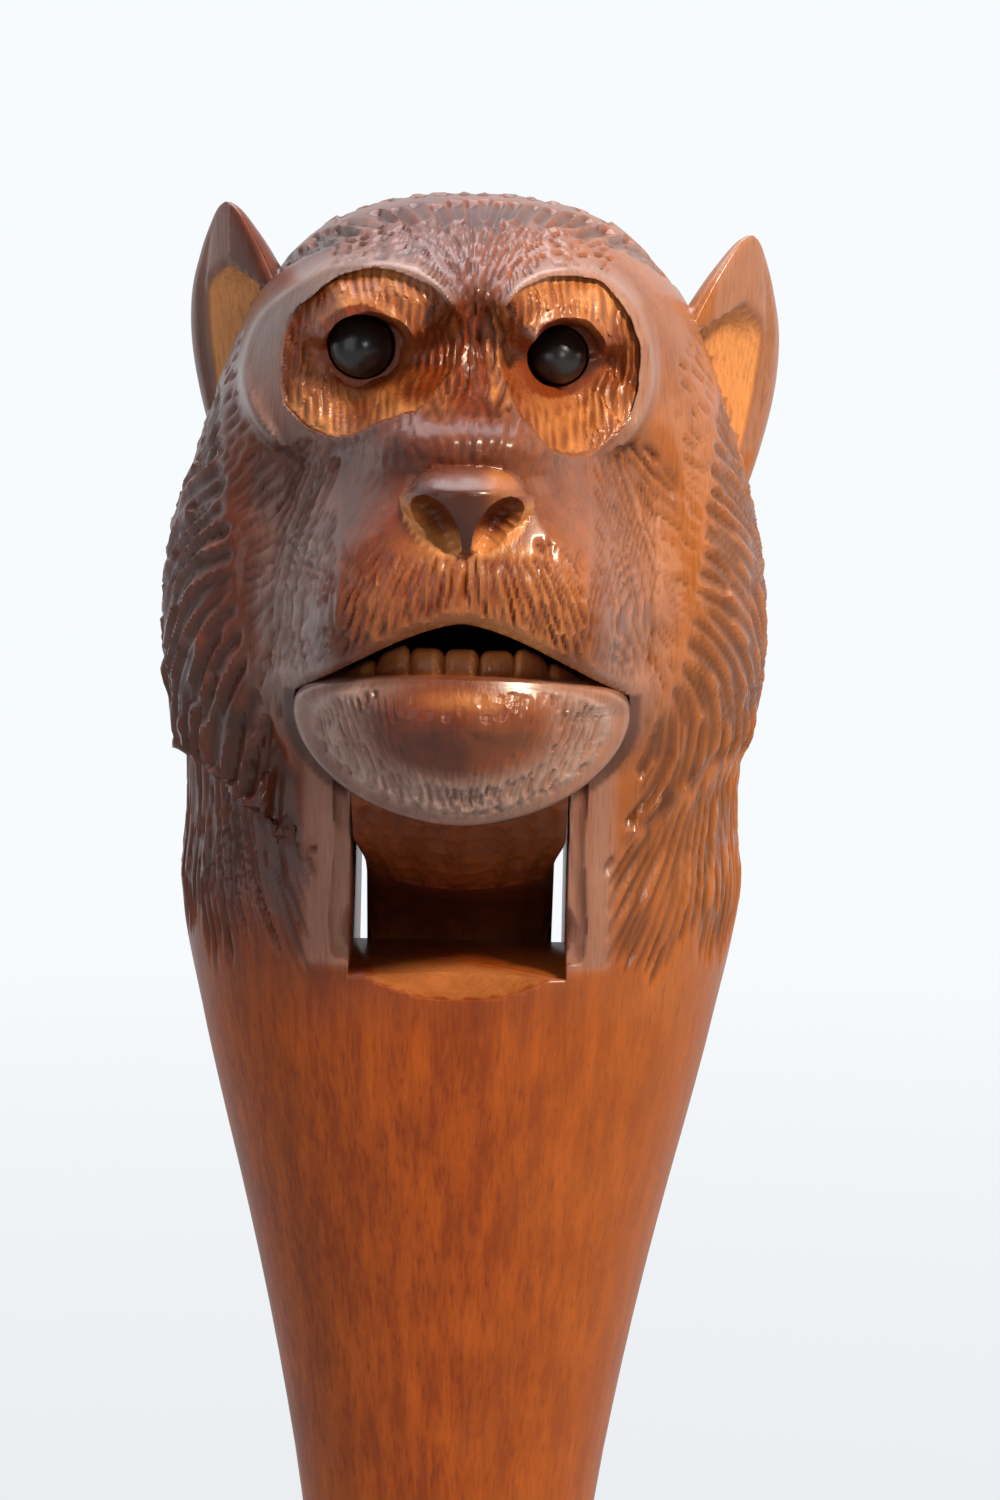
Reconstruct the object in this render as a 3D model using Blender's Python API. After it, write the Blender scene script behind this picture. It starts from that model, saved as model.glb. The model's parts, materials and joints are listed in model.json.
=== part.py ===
"""A carved lever nutcracker: an ape's head on a tapering handle, with a hinged lower jaw.

Front is -Y, up is +Z, and the handles end at height zero. The jaw and the rear handle are one
carving, which turns on a steel pin through the cheeks. Sizes are in metres.
"""

import math

import bmesh
import bpy
import numpy as np

MM = 0.001

# Heights, each counted from the one before
SLOT_FLOOR_HEIGHT = 127.3 * MM
REAR_SHOULDER_DROP = 6.3 * MM
PIVOT_RISE = 19.7 * MM
JAW_LIFT = 4.2 * MM
JAW_RISE = 4.0 * MM
MOUTH_OPENING = 4.7 * MM
LIP_CORNER_OPENING = 1.2 * MM
CROWN_RISE = 34.1 * MM
REAR_SHOULDER_HEIGHT = SLOT_FLOOR_HEIGHT - REAR_SHOULDER_DROP
PIVOT_HEIGHT = SLOT_FLOOR_HEIGHT + PIVOT_RISE
JAW_HEIGHT = PIVOT_HEIGHT + JAW_LIFT
LIP_HEIGHT = JAW_HEIGHT + JAW_RISE + MOUTH_OPENING
LIP_CORNER_HEIGHT = JAW_HEIGHT + LIP_CORNER_OPENING
CROWN_HEIGHT = LIP_HEIGHT + CROWN_RISE

# Head and front handle
REAR_SHOULDER_RISE = 1.5 * MM
HEAD_HALF_WIDTH = 25.4 * MM
HEAD_FRONT_DEPTH = 22.5 * MM
HEAD_BACK_DEPTH = 27.5 * MM
NECK_HALF_WIDTH = 24.8 * MM
NECK_FRONT_DEPTH = 20.3 * MM
NECK_BACK_DEPTH = 22.0 * MM
HANDLE_GAP = 0.8 * MM
HANDLE_EDGE_RADIUS = 1.6 * MM
NECK_SQUARENESS = 2.15

# Face
MUZZLE_REACH = 38.5 * MM
MUZZLE_HALF_WIDTH = 19.5 * MM
SOCKET_PLACE_SHARE = 0.598
SOCKET_HEIGHT = LIP_HEIGHT + SOCKET_PLACE_SHARE * CROWN_RISE
SOCKET_HALF_HEIGHT = 6.9 * MM
SOCKET_HALF_WIDTH = {"left": 7.4 * MM, "right": 6.5 * MM}
SOCKET_OFFSET = {"left": 8.6 * MM, "right": 8.7 * MM}
SOCKET_INSET = 3.5 * MM
SOCKET_FLOOR_DEPTH = HEAD_FRONT_DEPTH - SOCKET_INSET
SOCKET_WALL = 3.0 * MM
SOCKET_OUTWARD_TURN = 1.6 * MM
BROW_RIDGE_RISE = 2.9 * MM
NOSE_LIP_GAP = 5.5 * MM
NOSE_BOTTOM_HEIGHT = LIP_HEIGHT + NOSE_LIP_GAP
NOSE_HEIGHT = 8.6 * MM
NOSE_HALF_WIDTH = 5.1 * MM
NOSE_LENGTH = 7.5 * MM
NOSTRIL_RISE = 2.8 * MM
NOSTRIL_INSET = 1.6 * MM
NOSTRIL_OFFSET = 2.8 * MM
NOSTRIL_HALF_WIDTH = 1.6 * MM
NOSTRIL_HALF_LENGTH = 2.2 * MM
NOSTRIL_HALF_HEIGHT = 2.0 * MM
RUFF_RISE = 1.4 * MM
RUFF_SIDE_DROP = 1.0 * MM
RUFF_FRONT_DROP = 7.5 * MM
RUFF_EDGE_BLEND = 3.2 * MM
RUFF_TOP_DROP = 16.0 * MM
RUFF_TOP_BLEND = 12.0 * MM
RUFF_INNER_HALF_WIDTH = 14.5 * MM
RUFF_INNER_BLEND = 4.5 * MM

# Ears
EAR_THICKNESS = 3.0 * MM
EAR_EDGE_SHARE = 0.35
EAR_CUP_DEPTH = 4.6 * MM
EAR_BACK = 1.5 * MM
EAR_TURN = math.radians(54.0)
EAR_LENGTH = {"left": 25.0 * MM, "right": 28.0 * MM}
EAR_HALF_WIDTH = {"left": 8.2 * MM, "right": 8.8 * MM}
EAR_TIP_DROP = {"left": 1.4 * MM, "right": 3.4 * MM}
EAR_TIP_INSET = {"left": 3.7 * MM, "right": 1.0 * MM}
EAR_BASE_INSET = {"left": 6.8 * MM, "right": 5.8 * MM}

# Eyes
EYE_RADIUS = {"left": 2.75 * MM, "right": 2.5 * MM}
EYE_SHIFT = {"left": 0.5 * MM, "right": -1.2 * MM}
EYE_LIFT = {"left": 1.2 * MM, "right": 0.7 * MM}
EYE_STAND = 1.2 * MM
EYE_HOLE_CLEARANCE = 0.35 * MM
EYE_WIRE_RADIUS = 0.5 * MM
EYE_WIRE_LENGTH = 9.0 * MM
EYE_WIRE_CLEARANCE = 0.25 * MM
EYE_WIRE_SEAT = 1.3 * MM

# Hinge pin and the slot that the jaw turns in
PIVOT_BACK = 1.0 * MM
PIN_RADIUS = 2.0 * MM
PIN_CLEARANCE = 0.1 * MM
PIN_END_RECESS = 1.5 * MM
SLOT_HALF_WIDTH = 9.4 * MM
SLOT_REAR_DROP = 9.0 * MM
SLOT_ROOF_START = math.radians(15.0)
KNUCKLE_RADIUS = 10.5 * MM
KNUCKLE_CLEARANCE = 0.9 * MM
KNUCKLE_BACK_RELIEF = 2.0 * MM
JAW_SWING = math.radians(28.0)

# Mouth
JAW_CLEARANCE = 0.5 * MM
NUT_SEAT_HALF_WIDTH = 10.3 * MM
NUT_SEAT_HALF_LENGTH = 12.0 * MM
NUT_SEAT_HALF_HEIGHT = 8.0 * MM
NUT_SEAT_LIFT = 6.6 * MM
NUT_SEAT_DEPTH = 19.5 * MM
BAND_WIDTH = 2.2 * MM
BAND_LEDGE_RISE = 1.3 * MM
BAND_INSET = 3.4 * MM

# Jaw and rear handle
JAW_HALF_WIDTH = 14.2 * MM
JAW_DROP = 8.9 * MM
JAW_SETBACK = 3.3 * MM
JAW_REACH = MUZZLE_REACH - JAW_SETBACK
JAW_THICKNESS = 12.5 * MM
JAW_BACK_RADIUS = JAW_REACH + PIVOT_BACK - JAW_THICKNESS
JAW_LIP_SETBACK = 0.9 * MM
JAW_CHIN_SETBACK = 4.2 * MM
JAW_SIDE_SETBACK = 9.6 * MM
JAW_RIM_STEP = 0.7 * MM
TEETH_LIP_GAP = 1.1 * MM
TEETH_TOP_DROP = 2.1 * MM
TEETH_HEIGHT = 4.4 * MM
TEETH_SIDE_INSET = 4.2 * MM
TEETH_SETBACK = 2.8 * MM
TEETH_THICKNESS = 2.6 * MM
TOOTH_COUNT = 7
JAW_BASIN_HALF_WIDTH = 7.4 * MM
JAW_BASIN_HALF_LENGTH = 8.6 * MM
JAW_BASIN_HALF_HEIGHT = 6.0 * MM
JAW_BASIN_DEPTH = 18.0 * MM
JAW_BASIN_LIFT = 11.6 * MM
LEVER_SIDE_GAP = 1.2 * MM
LEVER_HALF_WIDTH = SLOT_HALF_WIDTH - LEVER_SIDE_GAP
REAR_HANDLE_HALF_WIDTH = 13.2 * MM
REAR_HANDLE_BACK_DEPTH = 13.6 * MM
ARM_END_DROP = 8.0 * MM
ARM_BEVEL = 0.8 * MM

# One overrun for every cut
OVERRUN = 30.0 * MM

# Height as a share of the slot floor's, then half width, front and back depth as shares of the
# neck's.
HANDLE_SHARES = [
    (0.000, 0.470, 0.520, 0.480),
    (0.012, 0.498, 0.548, 0.500),
    (0.050, 0.508, 0.556, 0.510),
    (0.130, 0.480, 0.530, 0.480),
    (0.220, 0.447, 0.505, 0.460),
    (0.300, 0.437, 0.500, 0.455),
    (0.400, 0.447, 0.522, 0.470),
    (0.500, 0.476, 0.566, 0.500),
    (0.600, 0.538, 0.630, 0.560),
    (0.672, 0.599, 0.685, 0.610),
    (0.746, 0.675, 0.754, 0.680),
    (0.819, 0.760, 0.828, 0.760),
    (0.891, 0.851, 0.901, 0.850),
    (0.950, 0.920, 0.960, 0.930),
    (1.030, 1.000, 1.000, 1.000),
]
# Height as a share of the way from the slot floor to the crown, then half width, front and back
# depth as shares of the head's.
HEAD_SHARES = [
    (0.175, 0.962, 0.885, 0.840),
    (0.280, 0.968, 0.900, 0.890),
    (0.385, 1.000, 0.925, 0.945),
    (0.490, 0.994, 0.950, 0.982),
    (0.595, 0.962, 0.970, 1.000),
    (0.700, 0.900, 0.985, 0.975),
    (0.790, 0.815, 1.000, 0.902),
    (0.865, 0.722, 0.985, 0.782),
    (0.925, 0.585, 0.880, 0.625),
    (0.970, 0.430, 0.640, 0.436),
    (0.993, 0.240, 0.350, 0.240),
    (1.000, 0.000, 0.000, 0.000),
]
# Height as a share of the way from the slot floor to the crown, then how far the middle of the
# face stands out and how wide it is there, as shares of the muzzle's reach and half width, and
# how full the form is, from a ridge at 0 to a flat front at 1.
FACE_SHARES = [
    (0.200, 0.480, 0.96, 0.90),
    (0.300, 0.570, 0.98, 0.90),
    (0.410, 0.860, 1.00, 0.90),
    (0.480, 0.930, 1.00, 0.90),
    (0.540, 0.945, 0.97, 0.80),
    (0.590, 0.940, 0.93, 0.65),
    (0.640, 0.930, 0.88, 0.45),
    (0.680, 0.920, 0.84, 0.32),
    (0.712, 0.880, 0.84, 0.25),
    (0.745, 0.815, 0.90, 0.25),
    (0.785, 0.740, 1.02, 0.40),
    (0.830, 0.700, 1.12, 0.65),
    (0.885, 0.680, 1.10, 0.70),
    (0.930, 0.590, 1.05, 0.60),
    (0.965, 0.430, 1.00, 0.50),
]
# Height as a share of the way up the nose, then half width and forward reach as shares of the
# nose's half width and of the way from its root to the muzzle's reach.
NOSE_SHARES = [
    (0.00, 0.22, 0.66),
    (0.18, 0.50, 0.86),
    (0.42, 0.92, 0.97),
    (0.66, 1.10, 1.00),
    (0.84, 1.00, 0.90),
    (1.00, 0.60, 0.58),
]
# The socket's cutter from its open end to its floor: scale of its outline, and height above the
# floor as a share of the wall.
SOCKET_SHARES = [
    (1.00, 1.00),
    (0.95, 0.50),
    (0.84, 0.20),
    (0.62, 0.05),
    (0.30, 0.00),
]
# Along the ear from base to tip: half width as a share of the ear's.
EAR_WIDTH_SHARES = [
    (0.00, 0.55),
    (0.20, 0.86),
    (0.45, 1.00),
    (0.65, 0.90),
    (0.82, 0.58),
    (0.94, 0.27),
    (1.00, 0.10),
]
# Height as a share of the slot floor's; half width as a share of the way from the lever's to the
# rear handle's; back depth as a share of the rear handle's; and how square the section is.
LEVER_SHARES = [
    (0.000, 0.44, 0.72, 2.2),
    (0.012, 0.52, 0.77, 2.2),
    (0.050, 0.56, 0.79, 2.2),
    (0.130, 0.44, 0.74, 2.2),
    (0.220, 0.28, 0.70, 2.2),
    (0.300, 0.24, 0.69, 2.2),
    (0.400, 0.28, 0.72, 2.2),
    (0.500, 0.46, 0.79, 2.2),
    (0.600, 0.78, 0.89, 2.3),
    (0.672, 1.00, 0.97, 2.4),
    (0.746, 0.80, 1.00, 2.7),
    (0.819, 0.30, 0.96, 3.2),
    (0.870, -0.05, 0.90, 4.0),
    (0.950, -0.05, 0.85, 6.0),
    (1.100, -0.05, 0.85, 6.0),
]
# The arm's outline from the lever's front round under the jaw, over the nut seat to the knuckle:
# forward as a share of the jaw's reach from the pivot, up as a share of the jaw's back radius.
ARM_UNDER_SHARES = [
    (0.00, -0.93),
    (0.03, -0.78),
    (0.11, -0.66),
    (0.25, -0.56),
    (0.41, -0.475),
    (0.69, -0.26),
    (0.83, -0.10),
]
ARM_TOP_SHARES = [
    (0.83, 0.27),
    (0.55, 0.27),
    (0.33, 0.32),
]
# How far from the middle of the bowl to its edge each ring lies, in front and at the back.
BOWL_FRONT_SHARES = (0.08, 0.26, 0.44, 0.60, 0.73, 0.80, 0.86, 0.91, 1.00)
BOWL_BACK_SHARES = (1.00, 0.86, 0.60, 0.30, 0.08)

# How the round shapes are stepped
HEAD_RING_COUNT = 64
HEAD_POINT_COUNT = 72
DENSE_POINT_COUNT = 720
LEVER_RING_COUNT = 26
LEVER_POINT_COUNT = 28
EAR_RING_COUNT = 9
EAR_POINT_COUNT = 16
PIN_POINT_COUNT = 20
EYE_POINT_COUNT = 20
SOCKET_POINT_COUNT = 28
NOSE_POINT_COUNT = 20
JAW_POINT_COUNT = 44

SIDES = {"left": -1, "right": 1}
# The model stands with the middle of its bounding box over the origin.
CENTRING = (MUZZLE_REACH - HEAD_BACK_DEPTH - RUFF_RISE) / 2


def smooth_step(value, low, high):
    """0 below low, 1 above high, and an S curve between."""
    share = np.clip((value - low) / (high - low), 0, 1)
    return share * share * (3 - 2 * share)


def soft_limit(value, limit, blend):
    """The smaller of value and limit, rounded where they cross."""
    share = np.clip(0.5 + 0.5 * (limit - value) / blend, 0, 1)
    return limit + (value - limit) * share - blend * share * (1 - share)


def smooth_curve(rows, steps):
    """A smooth curve through the rows, with this many steps between each two."""
    rows = np.asarray(rows, float)
    padded = np.vstack([2 * rows[0] - rows[1], rows, 2 * rows[-1] - rows[-2]])
    points = []
    for start in range(len(rows) - 1):
        a, b, c, d = padded[start : start + 4]
        for share in np.arange(steps) / steps:
            points.append(
                b
                + 0.5 * share * (c - a)
                + share**2 * (a - 2.5 * b + 2 * c - 0.5 * d)
                + share**3 * (-0.5 * a + 1.5 * b - 1.5 * c + 0.5 * d)
            )
    points.append(rows[-1])
    return np.array(points)


def evenly_along(points, weights, count):
    """count points along an open line of points, closer together where the weights are high."""
    lengths = np.linalg.norm(np.diff(points, axis=0), axis=1)
    travelled = np.concatenate([[0], np.cumsum(lengths * (weights[1:] + weights[:-1]) / 2)])
    wanted = np.linspace(0, travelled[-1], count)
    return np.stack([np.interp(wanted, travelled, column) for column in points.T], axis=1)


def superellipse(angles, squareness):
    """Sine and cosine of the angles, drawn out towards a square."""
    sine, cosine = np.sin(angles), np.cos(angles)
    stretch = 1 / (np.abs(sine) ** squareness + np.abs(cosine) ** squareness) ** (1 / squareness)
    return sine * stretch, cosine * stretch


def make_material(name, color, roughness, metallic=0.0):
    material = bpy.data.materials.new(name)
    material.use_nodes = True
    shader = material.node_tree.nodes["Principled BSDF"]
    shader.inputs["Base Color"].default_value = (*color, 1)
    shader.inputs["Roughness"].default_value = roughness
    shader.inputs["Metallic"].default_value = metallic
    return material


def make_object(name, points, faces, origin=(0, 0, 0)):
    """An object whose points are given in the model's frame and whose own origin is at origin."""
    mesh = bpy.data.meshes.new(name)
    mesh.from_pydata((np.asarray(points) - origin).tolist(), [], faces)
    shape = bmesh.new()
    shape.from_mesh(mesh)
    bmesh.ops.recalc_face_normals(shape, faces=shape.faces)
    shape.to_mesh(mesh)
    shape.free()
    mesh.shade_smooth()
    mesh.set_sharp_from_angle(angle=math.radians(35))
    obj = bpy.data.objects.new(name, mesh)
    obj.location = origin
    bpy.context.collection.objects.link(obj)
    return obj


def skin_rings(rings):
    """Points and faces of a closed body through rings of as many points each, with flat ends."""
    count = len(rings[0])
    points = np.concatenate(rings)
    faces = [list(range(count))[::-1]]
    for row in range(len(rings) - 1):
        for column in range(count):
            following = (column + 1) % count
            low, high = row * count, (row + 1) * count
            faces.append([low + column, low + following, high + following, high + column])
    faces.append([(len(rings) - 1) * count + column for column in range(count)])
    return points, faces


def extruded(name, outline, low_x, high_x):
    """A prism between two x places from an outline of (y, z)."""
    rings = [[(x, y, z) for y, z in outline] for x in (low_x, high_x)]
    points, faces = skin_rings([np.array(ring) for ring in rings])
    return make_object(name, points, faces)


def cylinder(name, start, end, radius, count):
    """A closed cylinder from start to end, which differ along one axis."""
    start, end = np.array(start, float), np.array(end, float)
    axis = (end - start) / np.linalg.norm(end - start)
    across = np.roll(np.abs(axis), 1)
    over = np.cross(axis, across)
    angles = np.arange(count) * 2 * math.pi / count
    ring = radius * (np.outer(np.cos(angles), across) + np.outer(np.sin(angles), over))
    points, faces = skin_rings([start + ring, end + ring])
    return make_object(name, points, faces)


def ellipsoid(name, centre, radii, rings=12, count=24):
    """A closed ellipsoid with small flat poles."""
    rows = []
    for tilt in np.linspace(-math.pi / 2, math.pi / 2, rings + 2)[1:-1]:
        angles = np.arange(count) * 2 * math.pi / count
        rows.append(
            np.stack(
                [
                    centre[0] + radii[0] * math.cos(tilt) * np.cos(angles),
                    centre[1] + radii[1] * math.cos(tilt) * np.sin(angles),
                    np.full(count, centre[2] + radii[2] * math.sin(tilt)),
                ],
                axis=1,
            )
        )
    points, faces = skin_rings(rows)
    return make_object(name, points, faces)


def hide_helper(obj):
    obj.hide_render = True
    obj.display_type = "WIRE"


def combine(obj, other, operation):
    """A Boolean modifier with another object, which becomes a hidden helper."""
    modifier = obj.modifiers.new(f"{operation.lower()}_{other.name}", "BOOLEAN")
    modifier.operation = operation
    modifier.solver = "EXACT"
    modifier.object = other
    hide_helper(other)


def core_stations():
    """Height, half width, front depth and back depth of the plain form, from foot to crown."""
    rise = CROWN_HEIGHT - SLOT_FLOOR_HEIGHT
    rows = [
        (
            height * SLOT_FLOOR_HEIGHT,
            width * NECK_HALF_WIDTH,
            front * NECK_FRONT_DEPTH,
            back * NECK_BACK_DEPTH,
        )
        for height, width, front, back in HANDLE_SHARES
    ]
    rows += [
        (
            SLOT_FLOOR_HEIGHT + height * rise,
            width * HEAD_HALF_WIDTH,
            front * HEAD_FRONT_DEPTH,
            back * HEAD_BACK_DEPTH,
        )
        for height, width, front, back in HEAD_SHARES
    ]
    return smooth_curve(rows, 24)


def ring_stations(count):
    """The core's stations, closer together on the head and above all on the face."""
    dense = core_stations()
    height = dense[:, 0]
    weights = 0.3 + 0.7 * smooth_step(height, 0.8 * SLOT_FLOOR_HEIGHT, SLOT_FLOOR_HEIGHT)
    weights += 0.7 * smooth_step(height, SLOT_FLOOR_HEIGHT, JAW_HEIGHT)
    picked = evenly_along(dense, weights, count)
    # A thin collar at the rear shoulder keeps the step there crisp.
    low, high = REAR_SHOULDER_HEIGHT - REAR_SHOULDER_RISE, REAR_SHOULDER_HEIGHT
    kept = picked[(picked[:, 0] < low) | (picked[:, 0] > high)]
    collar = [
        [np.interp(at, height, column) for column in dense.T]
        for at in (low, high)
    ]
    joined = np.vstack([kept, collar])
    return joined[np.argsort(joined[:, 0], kind="stable")]


def carve_face(points, station):
    """Pushes one dense ring's front out to the muzzle, the bridge and the brows."""
    x, y, z = points.T
    height = station[0]
    rise = CROWN_HEIGHT - SLOT_FLOOR_HEIGHT
    table = np.array(FACE_SHARES)
    share = (height - SLOT_FLOOR_HEIGHT) / rise
    reach, wide, full = (np.interp(share, table[:, 0], column) for column in table[:, 1:].T)
    if share < table[0, 0] or share > table[-1, 0]:
        reach = 0
    across = np.clip(np.abs(x) / (wide * MUZZLE_HALF_WIDTH), 0, 1)
    front = y < 0
    plan = 1 - smooth_step(across, 0.6 * full, 1)
    y = y - np.where(front, np.maximum(reach * MUZZLE_REACH - station[2], 0) * plan, 0)
    up = (z - SOCKET_HEIGHT) / SOCKET_HALF_HEIGHT
    ridge = np.zeros(len(x))
    for side, sign in SIDES.items():
        out = (sign * x - SOCKET_OFFSET[side]) / SOCKET_HALF_WIDTH[side]
        ridge = np.maximum(ridge, np.exp(-(((np.hypot(out, up) - 1.15) / 0.34) ** 2)))
    upper = 0.35 + 0.65 * smooth_step(up, -0.9, 0.5)
    y = y - np.where(front, BROW_RIDGE_RISE * ridge * upper, 0)
    return np.stack([x, y, z], axis=1)


def carve_ruff(points):
    """Swells the hair round the cheeks and the back of the head, with a step over the neck."""
    x, y, z = points.T
    sideways = smooth_step(np.abs(x), RUFF_INNER_HALF_WIDTH, HEAD_HALF_WIDTH)
    edge = PIVOT_HEIGHT - RUFF_FRONT_DROP + (RUFF_FRONT_DROP - RUFF_SIDE_DROP) * sideways
    swell = smooth_step(z, edge - RUFF_EDGE_BLEND, edge)
    top = CROWN_HEIGHT - RUFF_TOP_DROP
    swell = swell * (1 - smooth_step(z, top - RUFF_TOP_BLEND, top))
    beside_face = smooth_step(
        np.abs(x), RUFF_INNER_HALF_WIDTH, RUFF_INNER_HALF_WIDTH + RUFF_INNER_BLEND
    )
    swell = RUFF_RISE * swell * np.where(y < 0, beside_face, 1)
    distance = np.maximum(np.hypot(x, y), RUFF_RISE)
    return np.stack([x + swell * x / distance, y + swell * y / distance, z], axis=1)


def head_ring(station, count):
    """One ring of the head or front handle, as many points as asked for."""
    height, half_width, front, back = station
    angles = np.linspace(0, 2 * math.pi, DENSE_POINT_COUNT + 1) + math.pi
    sine, cosine = superellipse(angles, NECK_SQUARENESS)
    depth = np.where(cosine > 0, front, back)
    points = np.stack([half_width * sine, -depth * cosine, np.full(len(angles), height)], axis=1)
    if height < REAR_SHOULDER_HEIGHT - REAR_SHOULDER_RISE / 2:
        points[:, 1] = soft_limit(points[:, 1], -HANDLE_GAP / 2, HANDLE_EDGE_RADIUS)
    points = carve_ruff(carve_face(points, station))
    on_face = float(smooth_step(height, JAW_HEIGHT, NOSE_BOTTOM_HEIGHT))
    near_middle = np.exp(-((points[:, 0] / MUZZLE_HALF_WIDTH) ** 2))
    weights = np.where(points[:, 1] < 0, 1.5 + 1.5 * on_face * near_middle, 1.0)
    return evenly_along(points, weights, count + 1)[:-1]


def make_nose():
    """The nose pad, wide at the top and narrow at the lip, with its back buried in the muzzle."""
    angles = np.arange(NOSE_POINT_COUNT) * 2 * math.pi / NOSE_POINT_COUNT
    rings = []
    for height, wide, forward in smooth_curve(NOSE_SHARES, 2):
        x = wide * NOSE_HALF_WIDTH * np.sin(angles)
        y = NOSE_LENGTH - MUZZLE_REACH - forward * NOSE_LENGTH * np.cos(angles)
        z = np.full(NOSE_POINT_COUNT, NOSE_BOTTOM_HEIGHT + height * NOSE_HEIGHT)
        rings.append(np.stack([x, y, z], axis=1))
    points, faces = skin_rings(rings)
    return make_object("nose_form", points, faces)


def make_socket(side):
    """The cutter of one eye socket: steep walls, and a floor that turns a little outwards."""
    angles = np.arange(SOCKET_POINT_COUNT) * 2 * math.pi / SOCKET_POINT_COUNT
    rings = []
    for scale, wall in [(1.0, OVERRUN / SOCKET_WALL), *SOCKET_SHARES]:
        out = SOCKET_OFFSET[side] + scale * SOCKET_HALF_WIDTH[side] * np.cos(angles)
        depth = SOCKET_FLOOR_DEPTH - SOCKET_OUTWARD_TURN * scale * np.cos(angles)
        z = SOCKET_HEIGHT + scale * SOCKET_HALF_HEIGHT * np.sin(angles)
        rings.append(np.stack([SIDES[side] * out, -depth - wall * SOCKET_WALL, z], axis=1))
    points, faces = skin_rings(rings)
    return make_object(f"socket_{side}", points, faces)


def make_ear(side):
    """A cupped leaf, hollow in front, whose base is buried in the side of the head."""
    sign = SIDES[side]
    top = CROWN_HEIGHT - EAR_TIP_DROP[side]
    tip = np.array([sign * (HEAD_HALF_WIDTH - EAR_TIP_INSET[side]), EAR_BACK, top])
    base = np.array(
        [sign * (HEAD_HALF_WIDTH - EAR_BASE_INSET[side]), 2 * EAR_BACK, top - EAR_LENGTH[side]]
    )
    across = np.array([sign * math.cos(EAR_TURN), math.sin(EAR_TURN), 0])
    behind = np.array([-sign * math.sin(EAR_TURN), math.cos(EAR_TURN), 0])
    table = np.array(EAR_WIDTH_SHARES)
    half = EAR_POINT_COUNT // 2
    outer = np.linspace(-math.pi / 2, math.pi / 2, half)
    rings = []
    for share in np.linspace(0, 1, EAR_RING_COUNT):
        wide = np.interp(share, table[:, 0], table[:, 1])
        half_width = wide * EAR_HALF_WIDTH[side]
        cup = wide * EAR_CUP_DEPTH
        wall = EAR_THICKNESS * (EAR_EDGE_SHARE + (1 - EAR_EDGE_SHARE) * wide)
        back_arc = [(half_width * math.sin(a), cup * math.cos(a)) for a in outer]
        inner_width = max(half_width - 0.45 * wall, 0.4 * half_width)
        front_arc = [
            (
                inner_width * math.sin(a),
                cup * math.cos(a) - wall * (EAR_EDGE_SHARE + (1 - EAR_EDGE_SHARE) * math.cos(a)),
            )
            for a in outer[::-1]
        ]
        centre = base + (tip - base) * share
        rings.append(
            np.array([centre + across * u + behind * v for u, v in back_arc + front_arc])
        )
    points, faces = skin_rings(rings)
    return make_object(f"ear_{side}_form", points, faces)


def lip_height(x):
    """The lower edge of the upper lip, an arch over the teeth."""
    share = np.clip(np.abs(x) / JAW_HALF_WIDTH, 0, 1)
    return LIP_CORNER_HEIGHT + (LIP_HEIGHT - LIP_CORNER_HEIGHT) * (1 - share**1.5)


def relief_arc(radius, start, end, steps):
    """(y, z) points round the pivot, from an angle below straight ahead to another."""
    return [
        (PIVOT_BACK - radius * math.cos(angle), PIVOT_HEIGHT - radius * math.sin(angle))
        for angle in np.linspace(start, end, steps)
    ]


def make_mouth_relief():
    """The space that the jaw's bowl turns in, arched under the upper lip."""
    radius = JAW_BACK_RADIUS - JAW_CLEARANCE
    half_width = JAW_HALF_WIDTH + JAW_CLEARANCE
    lowest = JAW_SWING + math.radians(2)
    rings = []
    for x in np.linspace(-half_width, half_width, 19):
        top = float(lip_height(x))
        highest = -math.asin((top - PIVOT_HEIGHT) / radius)
        arc = relief_arc(radius, highest, lowest, 9)
        far = radius + OVERRUN
        outline = [(-OVERRUN - radius, top), *arc]
        outline.append(
            (PIVOT_BACK - far * math.cos(lowest), PIVOT_HEIGHT - far * math.sin(lowest))
        )
        rings.append(np.array([(x, y, z) for y, z in outline]))
    points, faces = skin_rings(rings)
    return make_object("mouth_relief", points, faces)


def make_band_relief():
    """The plain flat bands beside the slot, from under the jaw down to a ledge."""
    front = -OVERRUN - MUZZLE_REACH
    face = BAND_INSET - NECK_FRONT_DEPTH
    ledge = SLOT_FLOOR_HEIGHT + BAND_LEDGE_RISE
    outline = [(front, LIP_CORNER_HEIGHT), (face, LIP_CORNER_HEIGHT), (face, ledge), (front, ledge)]
    half_width = SLOT_HALF_WIDTH + BAND_WIDTH
    return extruded("band_relief", outline, -half_width, half_width)


def make_slot():
    """The through slot for the arm, with its floor under the chin and its roof over the knuckle."""
    roof = KNUCKLE_RADIUS + KNUCKLE_CLEARANCE
    arc = [
        (PIVOT_BACK + roof * math.cos(angle), PIVOT_HEIGHT + roof * math.sin(angle))
        for angle in np.linspace(SLOT_ROOF_START, math.pi / 2, 7)
    ]
    handle_face = -HANDLE_GAP / 2
    front = -MUZZLE_REACH - OVERRUN
    outline = [
        (front, SLOT_FLOOR_HEIGHT),
        (handle_face, SLOT_FLOOR_HEIGHT),
        (handle_face, REAR_SHOULDER_HEIGHT - OVERRUN),
        (HEAD_BACK_DEPTH + OVERRUN, REAR_SHOULDER_HEIGHT - OVERRUN),
        (HEAD_BACK_DEPTH + OVERRUN, PIVOT_HEIGHT - SLOT_REAR_DROP),
        (PIVOT_BACK + roof + KNUCKLE_BACK_RELIEF, PIVOT_HEIGHT),
        *arc,
        (-NUT_SEAT_DEPTH, LIP_CORNER_HEIGHT),
        (front, LIP_CORNER_HEIGHT),
    ]
    return extruded("arm_slot", outline, -SLOT_HALF_WIDTH, SLOT_HALF_WIDTH)


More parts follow.
